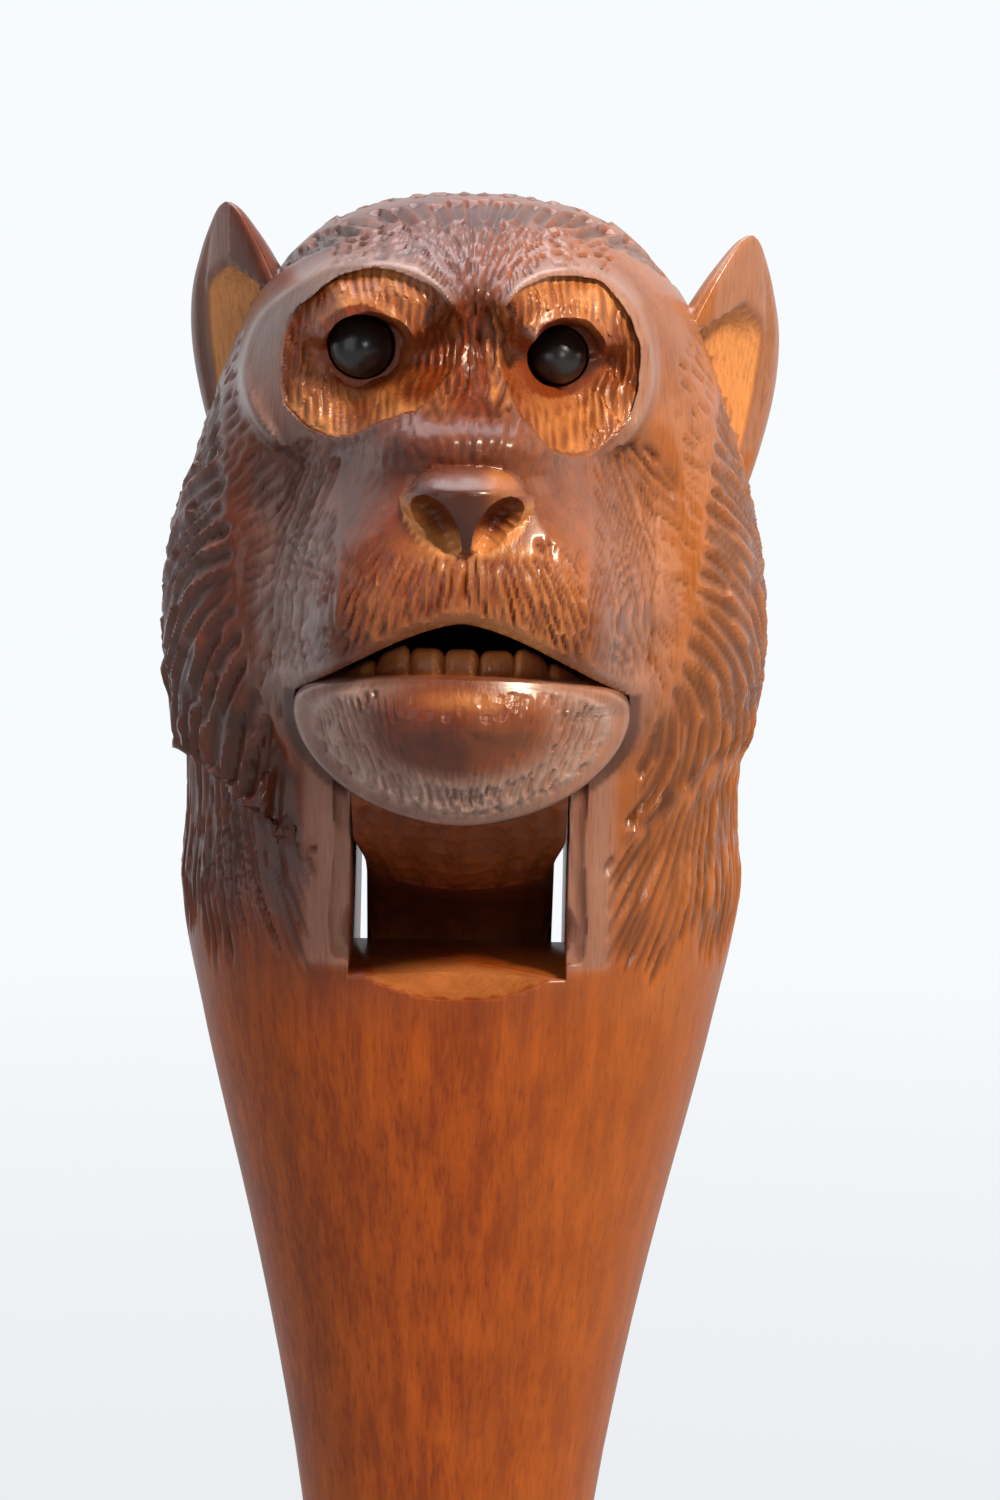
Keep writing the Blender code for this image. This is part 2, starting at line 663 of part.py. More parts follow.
def make_head_and_handle(wood):
    stations = ring_stations(HEAD_RING_COUNT)[:-1]
    rings = [head_ring(station, HEAD_POINT_COUNT) for station in stations]
    points, faces = skin_rings(rings)
    head = make_object("head_and_handle", points, faces)
    head.data.materials.append(wood)
    for side in SIDES:
        combine(head, make_ear(side), "UNION")
    combine(head, make_nose(), "UNION")
    combine(head, make_slot(), "DIFFERENCE")
    combine(head, make_band_relief(), "DIFFERENCE")
    combine(head, make_mouth_relief(), "DIFFERENCE")
    nut_seat = ellipsoid(
        "nut_seat",
        (0, -NUT_SEAT_DEPTH, PIVOT_HEIGHT + NUT_SEAT_LIFT),
        (NUT_SEAT_HALF_WIDTH, NUT_SEAT_HALF_LENGTH, NUT_SEAT_HALF_HEIGHT),
    )
    combine(head, nut_seat, "DIFFERENCE")
    bore = cylinder(
        "pin_bore",
        (-HEAD_HALF_WIDTH - OVERRUN, PIVOT_BACK, PIVOT_HEIGHT),
        (HEAD_HALF_WIDTH + OVERRUN, PIVOT_BACK, PIVOT_HEIGHT),
        PIN_RADIUS + PIN_CLEARANCE,
        PIN_POINT_COUNT,
    )
    combine(head, bore, "DIFFERENCE")
    for side, sign in SIDES.items():
        nostril = ellipsoid(
            f"nostril_{side}",
            (
                sign * NOSTRIL_OFFSET,
                NOSTRIL_INSET - MUZZLE_REACH,
                NOSE_BOTTOM_HEIGHT + NOSTRIL_RISE,
            ),
            (NOSTRIL_HALF_WIDTH, NOSTRIL_HALF_LENGTH, NOSTRIL_HALF_HEIGHT),
            rings=8,
            count=16,
        )
        combine(head, nostril, "DIFFERENCE")
        combine(head, make_socket(side), "DIFFERENCE")
        for hole in make_eye_holes(side):
            combine(head, hole, "DIFFERENCE")


def eye_centre(side):
    out = SOCKET_OFFSET[side] + EYE_SHIFT[side]
    return SIDES[side] * out, -SOCKET_FLOOR_DEPTH - EYE_STAND, SOCKET_HEIGHT + EYE_LIFT[side]


def make_eye_holes(side):
    """The drilled seat of the bead, and the narrower hole for its wire behind it."""
    x, y, z = eye_centre(side)
    radius = EYE_RADIUS[side] + EYE_HOLE_CLEARANCE
    wire_end = y + EYE_RADIUS[side] - EYE_WIRE_SEAT + EYE_WIRE_LENGTH + EYE_WIRE_CLEARANCE
    return (
        cylinder(
            f"eye_seat_{side}", (x, y - OVERRUN, z), (x, y + radius, z), radius, EYE_POINT_COUNT
        ),
        cylinder(
            f"wire_hole_{side}",
            (x, y, z),
            (x, wire_end, z),
            EYE_WIRE_RADIUS + EYE_WIRE_CLEARANCE,
            EYE_POINT_COUNT // 2,
        ),
    )


def make_eye(side, glass, steel):
    """A glass bead with a bore in its back, and the wire that holds it."""
    x, y, z = eye_centre(side)
    radius = EYE_RADIUS[side]
    bead = ellipsoid(
        f"eye_bead_{side}",
        (x, y, z),
        (radius, radius, radius),
        rings=EYE_POINT_COUNT // 2,
        count=EYE_POINT_COUNT,
    )
    bead.data.materials.append(glass)
    back = y + radius
    bore = cylinder(
        f"bead_bore_{side}",
        (x, back - EYE_WIRE_SEAT - EYE_WIRE_CLEARANCE, z),
        (x, back + radius, z),
        EYE_WIRE_RADIUS + EYE_WIRE_CLEARANCE,
        EYE_POINT_COUNT // 2,
    )
    combine(bead, bore, "DIFFERENCE")
    start = back - EYE_WIRE_SEAT
    wire = cylinder(
        f"eye_wire_{side}",
        (x, start, z),
        (x, start + EYE_WIRE_LENGTH, z),
        EYE_WIRE_RADIUS,
        EYE_POINT_COUNT // 2,
    )
    wire.data.materials.append(steel)


def make_hinge_pin(steel):
    """The pin ends a little under the surface of the cheeks."""
    stations = core_stations()
    half_length = np.interp(PIVOT_HEIGHT, stations[:, 0], stations[:, 1]) - PIN_END_RECESS
    pin = cylinder(
        "hinge_pin",
        (-half_length, PIVOT_BACK, PIVOT_HEIGHT),
        (half_length, PIVOT_BACK, PIVOT_HEIGHT),
        PIN_RADIUS,
        PIN_POINT_COUNT,
    )
    pin.data.materials.append(steel)


def jaw_outline(angle):
    """(x, z) of the bowl's outline, seen from the front, at an angle from +X towards +Z."""
    upper = math.sin(angle) > 0
    squareness = 2.5 if upper else 2.3
    sine, cosine = superellipse(np.array([angle]), squareness)
    height = JAW_RISE if upper else JAW_DROP
    return JAW_HALF_WIDTH * float(cosine[0]), JAW_HEIGHT + height * float(sine[0])


def jaw_edge_reach(angle):
    """How far forward the bowl's edge lies at this angle."""
    rise = math.sin(angle)
    setback = JAW_LIP_SETBACK if rise > 0 else JAW_CHIN_SETBACK
    return JAW_REACH - JAW_SIDE_SETBACK + (JAW_SIDE_SETBACK - setback) * abs(rise) ** 1.1


def jaw_front_depth(angle, share):
    """Forward reach of the bowl at a share of the way from its middle to its edge."""
    edge = jaw_edge_reach(angle)
    dome = edge + (JAW_REACH - edge) * (1 - share**2.2)
    inside_rim = 1 - smooth_step(share, 0.80, 0.90)
    return dome + JAW_RIM_STEP * float(inside_rim)


def jaw_back_depth(z):
    """Forward reach of the bowl's back, which turns about the pivot."""
    return math.sqrt(JAW_BACK_RADIUS**2 - (z - PIVOT_HEIGHT) ** 2) - PIVOT_BACK


def make_jaw_bowl():
    """The front of the lower jaw: a domed shield with a plain rim, and a back that is an arc."""
    angles = np.arange(JAW_POINT_COUNT) * 2 * math.pi / JAW_POINT_COUNT
    rings = []
    for share in BOWL_FRONT_SHARES:
        ring = []
        for angle in angles:
            x, z = jaw_outline(angle)
            z = JAW_HEIGHT + (z - JAW_HEIGHT) * share
            ring.append((x * share, -jaw_front_depth(angle, share), z))
        rings.append(np.array(ring))
    for share in BOWL_BACK_SHARES:
        ring = []
        for angle in angles:
            x, z = jaw_outline(angle)
            z = JAW_HEIGHT + (z - JAW_HEIGHT) * share
            ring.append((x * share, -jaw_back_depth(z), z))
        rings.append(np.array(ring))
    points, faces = skin_rings(rings)
    return make_object("jaw_bowl", points, faces)


def make_teeth():
    """One row of teeth, with a groove between each two, standing in an arc behind the lip."""
    per_tooth = 4
    count = TOOTH_COUNT * per_tooth + 1
    highest = LIP_HEIGHT - TEETH_TOP_DROP
    root = highest - TEETH_HEIGHT
    lean = 0.15 * TEETH_THICKNESS
    rings = []
    for column, share in enumerate(np.linspace(-1, 1, count)):
        x = (JAW_HALF_WIDTH - TEETH_SIDE_INSET) * share
        groove = 1.0 if column % per_tooth == 0 else 0.0
        top = min(highest, float(lip_height(x)) - TEETH_LIP_GAP) - 0.16 * TEETH_HEIGHT * groove
        reach = JAW_REACH - TEETH_SETBACK - 0.55 * JAW_SIDE_SETBACK * share**2
        front = reach - 0.22 * TEETH_THICKNESS * groove
        back = reach - TEETH_THICKNESS
        rings.append(
            np.array(
                [
                    (x, -front, root),
                    (x, -back, root),
                    (x, -back - lean, top),
                    (x, -front + lean, top),
                ]
            )
        )
    points, faces = skin_rings(rings)
    return make_object("teeth_row", points, faces)


def make_arm():
    """The flat-sided arm: knuckle round the pin, and the tongue that carries the jaw."""
    forward = JAW_REACH + PIVOT_BACK
    under = [
        (PIVOT_BACK - a * forward, PIVOT_HEIGHT + b * JAW_BACK_RADIUS) for a, b in ARM_UNDER_SHARES
    ]
    over = [
        (PIVOT_BACK - a * forward, PIVOT_HEIGHT + b * JAW_BACK_RADIUS) for a, b in ARM_TOP_SHARES
    ]
    knuckle = [
        (
            PIVOT_BACK + KNUCKLE_RADIUS * math.cos(angle),
            PIVOT_HEIGHT + KNUCKLE_RADIUS * math.sin(angle),
        )
        for angle in np.linspace(math.radians(125), 0, 11)
    ]
    end = [
        (PIVOT_BACK + KNUCKLE_RADIUS, PIVOT_HEIGHT - ARM_END_DROP),
        (2 * HANDLE_GAP, REAR_SHOULDER_HEIGHT + REAR_SHOULDER_RISE),
    ]
    outline = under + over + knuckle + end
    arm = extruded("arm_block", outline, -LEVER_HALF_WIDTH, LEVER_HALF_WIDTH)
    bevel = arm.modifiers.new("edge_bevel", "BEVEL")
    bevel.width = ARM_BEVEL
    bevel.segments = 1
    bevel.limit_method = "ANGLE"
    bevel.angle_limit = math.radians(60)
    return arm


def make_lever_handle():
    """The rear handle, flat in front, narrowing into the slot at its top."""
    rows = []
    for height, wide, deep, square in LEVER_SHARES:
        spread = REAR_HANDLE_HALF_WIDTH - LEVER_HALF_WIDTH
        rows.append(
            (
                height * SLOT_FLOOR_HEIGHT,
                LEVER_HALF_WIDTH + wide * spread,
                deep * REAR_HANDLE_BACK_DEPTH,
                square,
            )
        )
    dense_stations = smooth_curve(rows, 8)
    stations = evenly_along(dense_stations, np.ones(len(dense_stations)), LEVER_RING_COUNT)
    angles = np.linspace(0, 2 * math.pi, DENSE_POINT_COUNT + 1)
    rings = []
    for height, half_width, back, square in stations:
        sine, cosine = superellipse(angles, square)
        y = -soft_limit(-back * cosine, -HANDLE_GAP / 2, HANDLE_EDGE_RADIUS)
        dense = np.stack([half_width * sine, y, np.full(len(angles), height)], axis=1)
        rings.append(evenly_along(dense, np.ones(len(dense)), LEVER_POINT_COUNT + 1)[:-1])
    return skin_rings(rings)


def make_jaw_lever(wood):
    pivot = (0, PIVOT_BACK, PIVOT_HEIGHT)
    points, faces = make_lever_handle()
    lever = make_object("jaw_lever", points, faces, pivot)
    lever.data.materials.append(wood)
    combine(lever, make_arm(), "UNION")
    combine(lever, make_jaw_bowl(), "UNION")
    basin = ellipsoid(
        "jaw_basin",
        (0, -JAW_BASIN_DEPTH, PIVOT_HEIGHT + JAW_BASIN_LIFT),
        (JAW_BASIN_HALF_WIDTH, JAW_BASIN_HALF_LENGTH, JAW_BASIN_HALF_HEIGHT),
    )
    combine(lever, basin, "DIFFERENCE")
    combine(lever, make_teeth(), "UNION")
    bore = cylinder(
        "lever_bore",
        (-LEVER_HALF_WIDTH - OVERRUN, PIVOT_BACK, PIVOT_HEIGHT),
        (LEVER_HALF_WIDTH + OVERRUN, PIVOT_BACK, PIVOT_HEIGHT),
        PIN_RADIUS + PIN_CLEARANCE,
        PIN_POINT_COUNT,
    )
    combine(lever, bore, "DIFFERENCE")


def centre_on_origin():
    """Moves every piece and helper back by one amount, so that the box stands over the origin."""
    for obj in bpy.context.collection.objects:
        obj.location.y += CENTRING


def main():
    for obj in list(bpy.data.objects):
        bpy.data.objects.remove(obj, do_unlink=True)
    head_wood = make_material("head_wood", (0.23, 0.07, 0.025), 0.38)
    lever_wood = make_material("lever_wood", (0.21, 0.065, 0.025), 0.38)
    glass = make_material("eye_glass", (0.006, 0.006, 0.008), 0.08)
    steel = make_material("pin_steel", (0.45, 0.43, 0.41), 0.35, 1.0)
    make_head_and_handle(head_wood)
    make_jaw_lever(lever_wood)
    make_hinge_pin(steel)
    for side in SIDES:
        make_eye(side, glass, steel)
    centre_on_origin()


main()
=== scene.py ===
"""The carved and varnished surface of a lever nutcracker with an ape's head.

Laid out as a Blender add-on and run as a script. Front is -Y and up is +Z. The carving works in
millimetres in the carver's own frame, whose middle plane is x = 0 and whose depth is counted from
the head's axis; world_points brings the result to the model's metres.
"""

import json
import math
from typing import NamedTuple

import bpy
import numpy as np
from bpy.props import FloatProperty, FloatVectorProperty, IntProperty, PointerProperty
from mathutils import Matrix, Vector, kdtree


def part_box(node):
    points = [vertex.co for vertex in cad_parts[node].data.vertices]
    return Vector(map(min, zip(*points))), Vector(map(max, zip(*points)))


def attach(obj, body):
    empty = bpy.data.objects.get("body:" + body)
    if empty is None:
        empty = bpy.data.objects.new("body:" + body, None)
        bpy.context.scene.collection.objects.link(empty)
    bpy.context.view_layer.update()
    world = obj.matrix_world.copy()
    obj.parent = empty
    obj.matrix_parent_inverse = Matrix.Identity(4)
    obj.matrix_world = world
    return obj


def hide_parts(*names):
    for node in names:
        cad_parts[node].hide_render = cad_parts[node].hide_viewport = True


bl_info = {
    "name": "Carved ape's-head nutcracker",
    "version": (1, 0, 0),
    "blender": (4, 5, 0),
    "location": "View3D > Sidebar > Nutcracker",
    "description": "Builds the carved head, the jaw lever, the eyes and the pin over the packed model",
    "category": "Object",
}

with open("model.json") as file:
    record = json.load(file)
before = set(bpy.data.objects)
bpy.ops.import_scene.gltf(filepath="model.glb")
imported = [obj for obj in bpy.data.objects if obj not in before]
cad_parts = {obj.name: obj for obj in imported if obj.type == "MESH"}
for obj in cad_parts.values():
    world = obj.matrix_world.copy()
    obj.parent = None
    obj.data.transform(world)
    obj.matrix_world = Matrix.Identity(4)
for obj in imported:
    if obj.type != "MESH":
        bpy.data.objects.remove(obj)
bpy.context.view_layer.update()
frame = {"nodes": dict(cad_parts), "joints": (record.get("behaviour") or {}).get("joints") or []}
JAW_PIVOT = frame["joints"][0]["pos_m"]

MM = 0.001
# The hinge pin's place behind the head's axis, and its height.
PIVOT_BACK = 1.0
PIVOT_HEIGHT = JAW_PIVOT[2] / MM
AXIS_BACK = JAW_PIVOT[1] / MM - PIVOT_BACK

# The head, its slot and the mouth. Heights are from the feet, depths from the head's axis.
SLOT_FLOOR = 127.3
SLOT_HALF_WIDTH = 9.4
BAND_WIDTH = 4.2
BAND_DEPTH = 17.8
BAND_FOOT_DEPTH = 18.1
REAR_SHOULDER = 121.0
SHOULDER_RISE = 1.5
LIP_HEIGHT = 159.9
LIP_CORNER = 152.4
MUZZLE_REACH = 38.5
HANDLE_GAP = 0.8
INNER_ROUNDING = 1.6
NECK_SQUARENESS = 2.15
BROW_LIFT = 1.9
BROW_TOP = 184.0
LOCKS_TOP = 182.0
HAIR_LIFT = 0.3
# Where the middle lines of the face and the nose lie, a little to the right as seen from the front.
FACE_MIDDLE = 0.3
NOSE_MIDDLE = 0.2
# The nose's depth where it leaves the face.
NOSE_ROOT = 31.0
# The two lobes of the upper lip, and the middle of the arcs that are cut round them.
LOBE_OFFSET = 4.6
LOBE_HEIGHT = 160.2
ARCS_HEIGHT = 159.5
# Middle and radii of the hollow behind the teeth and of the worn front edge of the slot's floor.
NUT_SEAT = ((0, -19.5, 153.6), (10.3, 12.0, 8.0))
WORN_LEDGE = ((0, -23.0, 131.5), (12.6, 9.0, 6.4))

# The jaw and the lever.
LEVER_HALF_WIDTH = 8.2
JAW_HEIGHT = 151.2
JAW_HALF_WIDTH = 14.2
JAW_REACH = 35.2
JAW_ROUNDING = 9.6
JAW_BACK_RADIUS = 23.7
JAW_CLEARANCE = 0.5
# How far the jaw's outline rises and drops from its widest place, and how square each half is.
JAW_RISE = 4.0
JAW_DROP = 8.9
JAW_HIGH_SQUARENESS = 2.5
JAW_LOW_SQUARENESS = 1.85
# How far out the rings of the jaw's back lie, as shares of its outline.
BOWL_BACK = (1.0, 0.9, 0.7, 0.45, 0.2, 0.05)
BASIN = ((0, -18, 158.6), (7.4, 8.6, 6.0))
KNUCKLE_RADIUS = 10.5
KNUCKLE_CLEARANCE = 0.9
TEETH = 7
COLUMNS_PER_TOOTH = 20
TEETH_HALF_WIDTH = 10.0
TEETH_FOOT = 153.4
TEETH_TOP = 157.2

PIN_RADIUS = 2.0
PIN_BORE_RADIUS = 2.1
WIRE_BORE_RADIUS = 0.75
WIRE_DEPTH_IN_BEAD = 1.55
BEAD_CLEARANCE = 0.12
# Where a bead's back is flattened, as a share of its radius.
BEAD_FLAT_BACK = 0.93
# How deep the ring round a bead lies in its socket.
BEAD_RING_DEPTH = 20.0
EAR_CUP = 4.6
# How far a cutting tool runs on beyond what it cuts.
OVERRUN = 30.0
# Rings and columns of the head's skin.
HEAD_GRID = (250, 384)

SIDES = {"left": -1, "right": 1}
SOCKET_HEIGHT = 180.29
SOCKET_HALF_HEIGHT = 6.9
SOCKET_HALF_WIDTH = {"left": 7.4, "right": 6.5}
SOCKET_OFFSET = {"left": 8.6, "right": 8.7}
# Turn in degrees, from the bridge round under the eye to the outer side and over the top, and how far
# the socket's edge lies from its middle there.
SOCKET_OUTLINE = {
    "left": [
        (-180, 1.02), (-145, 0.78), (-114, 0.68), (-88, 0.78), (-66, 1.02), (-34, 1.08), (0, 1.06),
        (38, 1.0), (67, 1.06), (94, 1.14), (118, 1.2), (141, 1.18), (180, 1.02),
    ],
    "right": [
        (-180, 0.94), (-156, 0.84), (-125, 0.86), (-84, 1.05), (-64, 1.03), (-36, 0.95), (7, 0.88),
        (45, 0.97), (73, 1.07), (99, 1.13), (124, 1.16), (150, 1.08), (180, 0.94),
    ],
}
EYE_PLACE = {"left": (-9.1, -20.2, 181.49), "right": (7.5, -20.2, 180.99)}
EYE_RADIUS = {"left": 2.75, "right": 2.5}
# Turn round the left socket, and how far out the brow's smooth band reaches there.
BROW_EDGE = [(-70, 1.4), (-20, 1.38), (20, 1.33), (55, 1.2), (90, 1.11), (150, 1.09)]

# Height, half width, front depth and back depth of the plain form.
CORE = [
    (0.0, 11.66, 10.56, 10.56),
    (1.5, 12.35, 11.12, 11.0),
    (6.4, 12.60, 11.29, 11.22),
    (16.5, 11.90, 10.76, 10.56),
    (28.0, 11.09, 10.25, 10.12),
    (38.2, 10.84, 10.15, 10.01),
    (50.9, 11.09, 10.60, 10.34),
    (63.7, 11.80, 11.49, 11.0),
    (76.4, 13.34, 12.79, 12.32),
    (85.5, 14.86, 13.91, 13.42),
    (95.0, 16.74, 15.31, 14.96),
    (104.3, 18.85, 16.81, 16.72),
    (113.4, 21.10, 18.29, 18.7),
    (120.9, 22.82, 19.49, 20.46),
    (131.1, 24.80, 20.30, 22.0),
    (139.0, 24.43, 19.91, 23.1),
    (146.0, 24.59, 20.25, 24.5),
    (153.0, 25.40, 20.81, 26.0),
    (160.0, 25.25, 21.38, 27.0),
    (167.0, 24.43, 21.83, 27.5),
    (174.0, 22.86, 22.16, 26.8),
    (180.0, 20.70, 22.50, 24.8),
    (185.0, 18.34, 22.16, 21.5),
    (189.0, 14.86, 19.80, 17.2),
    (192.0, 10.92, 14.40, 12.0),
    (193.5, 6.10, 7.88, 6.6),
    (193.9, 2.40, 3.0, 2.6),
]
# Height, how far the middle of the face stands out, its half width, and how full its form is.
FACE = [
    (140.6, 18.5, 18.7, 0.90),
    (147.3, 21.9, 19.1, 0.90),
    (154.6, 33.1, 19.5, 0.90),
    (159.3, 35.8, 19.5, 0.90),
    (163.3, 36.4, 18.9, 0.80),
    (166.7, 36.2, 18.1, 0.65),
    (170.0, 35.8, 17.2, 0.45),
    (172.7, 35.4, 16.4, 0.32),
    (174.8, 33.9, 16.4, 0.25),
    (177.0, 31.4, 17.6, 0.25),
    (179.7, 28.5, 19.9, 0.40),
    (182.7, 26.9, 21.8, 0.65),
    (186.3, 26.2, 21.5, 0.70),
    (189.3, 22.7, 20.5, 0.60),
    (191.7, 16.6, 19.5, 0.50),
]
# Height, half width and front of the nose's pad.
NOSE = [
    (164.9, 0.9, 35.6),
    (165.8, 1.8, 36.9),
    (166.8, 3.4, 37.6),
    (168.0, 5.0, 38.1),
    (169.2, 5.9, 38.4),
    (170.2, 5.6, 38.5),
    (171.0, 4.7, 38.4),
    (171.6, 4.4, 37.5),
    (172.2, 4.0, 36.2),
    (172.8, 3.2, 34.4),
]
# Height, half width, back depth and squareness of the rear handle.
REAR_HANDLE = [
    (0.0, 10.40, 9.79, 2.2),
    (1.5, 10.80, 10.47, 2.2),
    (6.4, 11.0, 10.74, 2.2),
    (16.5, 10.40, 10.06, 2.2),
    (28.0, 9.60, 9.52, 2.2),
    (38.2, 9.40, 9.38, 2.2),
    (50.9, 9.60, 9.79, 2.2),
    (63.7, 10.50, 10.74, 2.2),
    (76.4, 12.10, 12.10, 2.3),
    (85.5, 13.20, 13.19, 2.4),
    (95.0, 12.20, 13.60, 2.7),
    (104.3, 9.70, 13.06, 3.2),
    (110.8, 7.95, 12.24, 4.0),
    (120.9, 7.95, 11.56, 6.0),
    (140.0, 7.95, 11.56, 6.0),
]
# The inner edge of the big locks: height, and distance from the middle of the face.
LOCKS_START = [(137.0, 13.0), (145.6, 15.4), (153.6, 18.0), (161.5, 19.4), (174.0, 20.8), (186.0, 22.5)]
# How steeply the hair falls at each height, in degrees under level; less than 0 rises.
HAIR_FALL = [
    (139, 88),
    (146, 82),
    (150.5, 62),
    (155, 46),
    (161, 31),
    (166, 31),
    (171, 36),
    (176, 36),
    (180, 26),
    (184, 2),
    (188, -35),
    (192, -60),
]


def smooth_step(value, low, high):
    """0 below low, 1 above high, and an S curve between; low may be the higher of the two."""
    share = np.clip((value - low) / (high - low), 0, 1)
    return share * share * (3 - 2 * share)


def soft_limit(value, limit, blend):
    """The lower of value and limit, rounded where they meet."""
    share = np.clip(0.5 + 0.5 * (limit - value) / blend, 0, 1)
    return limit + (value - limit) * share - blend * share * (1 - share)


def smooth_curve(rows, steps):
    """A smooth curve through the rows, with this many steps between each two."""
    rows = np.asarray(rows, float)
    padded = np.vstack([2 * rows[0] - rows[1], rows, 2 * rows[-1] - rows[-2]])
    points = []
    for start in range(len(rows) - 1):
        a, b, c, d = padded[start : start + 4]
        for share in np.arange(steps) / steps:
            points.append(
                b
                + 0.5 * share * (c - a)
                + share**2 * (a - 2.5 * b + 2 * c - 0.5 * d)
                + share**3 * (-0.5 * a + 1.5 * b - 1.5 * c + 0.5 * d)
            )
    points.append(rows[-1])
    return np.array(points)


def evenly_along(points, weights, count):
    """count points along an open line, closer together where the weights are high."""
    lengths = np.linalg.norm(np.diff(points, axis=0), axis=1)
    travelled = np.concatenate([[0], np.cumsum(lengths * (weights[1:] + weights[:-1]) / 2)])
    wanted = np.linspace(0, travelled[-1], count)
    return np.stack([np.interp(wanted, travelled, column) for column in points.T], axis=1)


def angles_round(count):
    """count angles spread evenly over a full turn."""
    return np.arange(count) * 2 * math.pi / count


def superellipse(angles, squareness):
    """Sine and cosine stretched to a squarer outline; 2 is round."""
    sine, cosine = np.sin(angles), np.cos(angles)
    stretch = 1 / (np.abs(sine) ** squareness + np.abs(cosine) ** squareness) ** (1 / squareness)
    return sine * stretch, cosine * stretch


def table_at(table, value, column):
    """A column of a table at a value of its first column."""
    rows = np.asarray(table, float)
    return np.interp(value, rows[:, 0], rows[:, column])


def unit(vectors):
    return vectors / np.maximum(np.linalg.norm(vectors, axis=-1, keepdims=True), 1e-9)


def ripple(values, period, seed):
    """Smooth irregular waves between -1 and 1 along a line of values."""
    random = np.random.default_rng(seed)
    total = np.zeros(np.shape(values))
    for share in (1.0, 0.53, 0.31):
        phase = random.uniform(0, 2 * math.pi)
        total = total + share * np.sin(2 * math.pi * values / (period * share * 1.9) + phase)
    return total / 1.84


def scallops(values, width, seed):
    """A row of hollows of uneven width: 0 on the ridges between them, 1 in their middles."""
    uneven = values / width + 0.33 * ripple(values, width * 3.1, seed)
    return np.abs(np.sin(math.pi * uneven)) ** 0.8


def world_points(points):
    """From the carver's millimetres to the model's metres."""
    return (np.asarray(points, float) + (0, AXIS_BACK, 0)) * MM


# Meshes, and the tools that carve them


def mesh_object(name, points, faces, bend=38.0):
    mesh = bpy.data.meshes.new(name)
    mesh.from_pydata(world_points(points).tolist(), [], faces)
    mesh.shade_smooth()
    mesh.set_sharp_from_angle(angle=math.radians(bend))
    obj = bpy.data.objects.new(name, mesh)
    bpy.context.scene.collection.objects.link(obj)
    return obj


def skin_grid(grid):
    """Points and faces of a closed body through rings of points, each end closed by a fan."""
    grid = np.asarray(grid)
    rows, columns = grid.shape[:2]
    points = np.vstack([grid.reshape(-1, 3), grid[0].mean(axis=0), grid[-1].mean(axis=0)])
    here = np.arange(columns)
    following = (here + 1) % columns
    faces = []
    for row in range(rows - 1):
        low, high = row * columns, (row + 1) * columns
        faces += np.stack([low + here, low + following, high + following, high + here], axis=1).tolist()
    low_end, high_end = rows * columns, rows * columns + 1
    last = (rows - 1) * columns
    faces += [[low_end, int(b), int(a)] for a, b in zip(here, following)]
    faces += [[high_end, int(last + a), int(last + b)] for a, b in zip(here, following)]
    return points, faces


def facing_out(points, faces):
    """The faces, turned round if they enclose a negative volume."""
    corners = np.array([points[face[:3]] for face in faces])
    fourth = np.array([points[face[-1]] for face in faces])
    volume = np.einsum("ij,ij->i", corners[:, 0], np.cross(corners[:, 1], corners[:, 2])).sum()
    volume += np.einsum("ij,ij->i", corners[:, 0], np.cross(corners[:, 2], fourth)).sum()
    return [face[::-1] for face in faces] if volume < 0 else faces


def grid_object(name, grid, bend=38.0):
    points, faces = skin_grid(grid)
    return mesh_object(name, points, facing_out(points, faces), bend)


def prism(name, outline, low_x, high_x):
    """A block between two x places from an outline of (y, z)."""
    return grid_object(name, [[(x, y, z) for y, z in outline] for x in (low_x, high_x)])


def rod(name, start, end, radius, count, profile=((0, 1), (1, 1))):
    """A turned body: each (share, scale) gives its radius along the line from start to end."""
    start, end = np.array(start, float), np.array(end, float)
    axis = unit(end - start)
    across = unit(np.cross(axis, (0.0, 0.6, 0.8)))
    over = np.cross(axis, across)
    angles = angles_round(count)
    ring = np.outer(np.cos(angles), across) + np.outer(np.sin(angles), over)
    rings = [start + (end - start) * share + radius * scale * ring for share, scale in profile]
    return grid_object(name, rings)


def ball(name, centre, radii, rings=40, count=64, shape=None):
    """A closed ellipsoid; shape changes its unit directions before they are sized."""
    grid = []
    angles = angles_round(count)
    for tilt in np.linspace(-math.pi / 2, math.pi / 2, rings + 2)[1:-1]:
        ring = np.stack(
            [
                math.cos(tilt) * np.cos(angles),
                math.cos(tilt) * np.sin(angles),
                np.full(count, math.sin(tilt)),
            ],
            axis=1,
        )
        grid.append(ring if shape is None else shape(ring))
    return grid_object(name, np.array(grid) * radii + centre)


def carve(obj, operation, tools):
    """Cuts the tools from obj, or joins them to it, and keeps the result as obj's own mesh."""
    for tool in tools:
        modifier = obj.modifiers.new(operation, "BOOLEAN")
        modifier.operation = operation
        modifier.solver = "MANIFOLD"
        modifier.object = tool
    bpy.context.view_layer.update()
    graph = bpy.context.evaluated_depsgraph_get()
    mesh = bpy.data.meshes.new_from_object(obj.evaluated_get(graph))
    if len(mesh.polygons) < 8:
        raise RuntimeError(f"{obj.name}: {operation} left nothing")
    obj.modifiers.clear()
    obj.data = mesh
    for tool in tools:
        bpy.data.objects.remove(tool, do_unlink=True)


def mesh_points(obj):
    """The object's points in the carver's millimetres."""
    flat = np.empty(len(obj.data.vertices) * 3)
    obj.data.vertices.foreach_get("co", flat)
    return flat.reshape(-1, 3) / MM - (0, AXIS_BACK, 0)


def paint(obj, name, values):
    """Keeps a value for each point of the object, which its material reads."""
    layer = obj.data.attributes.new(name, "FLOAT", "POINT")
    layer.data.foreach_set("value", np.asarray(values, np.float32))


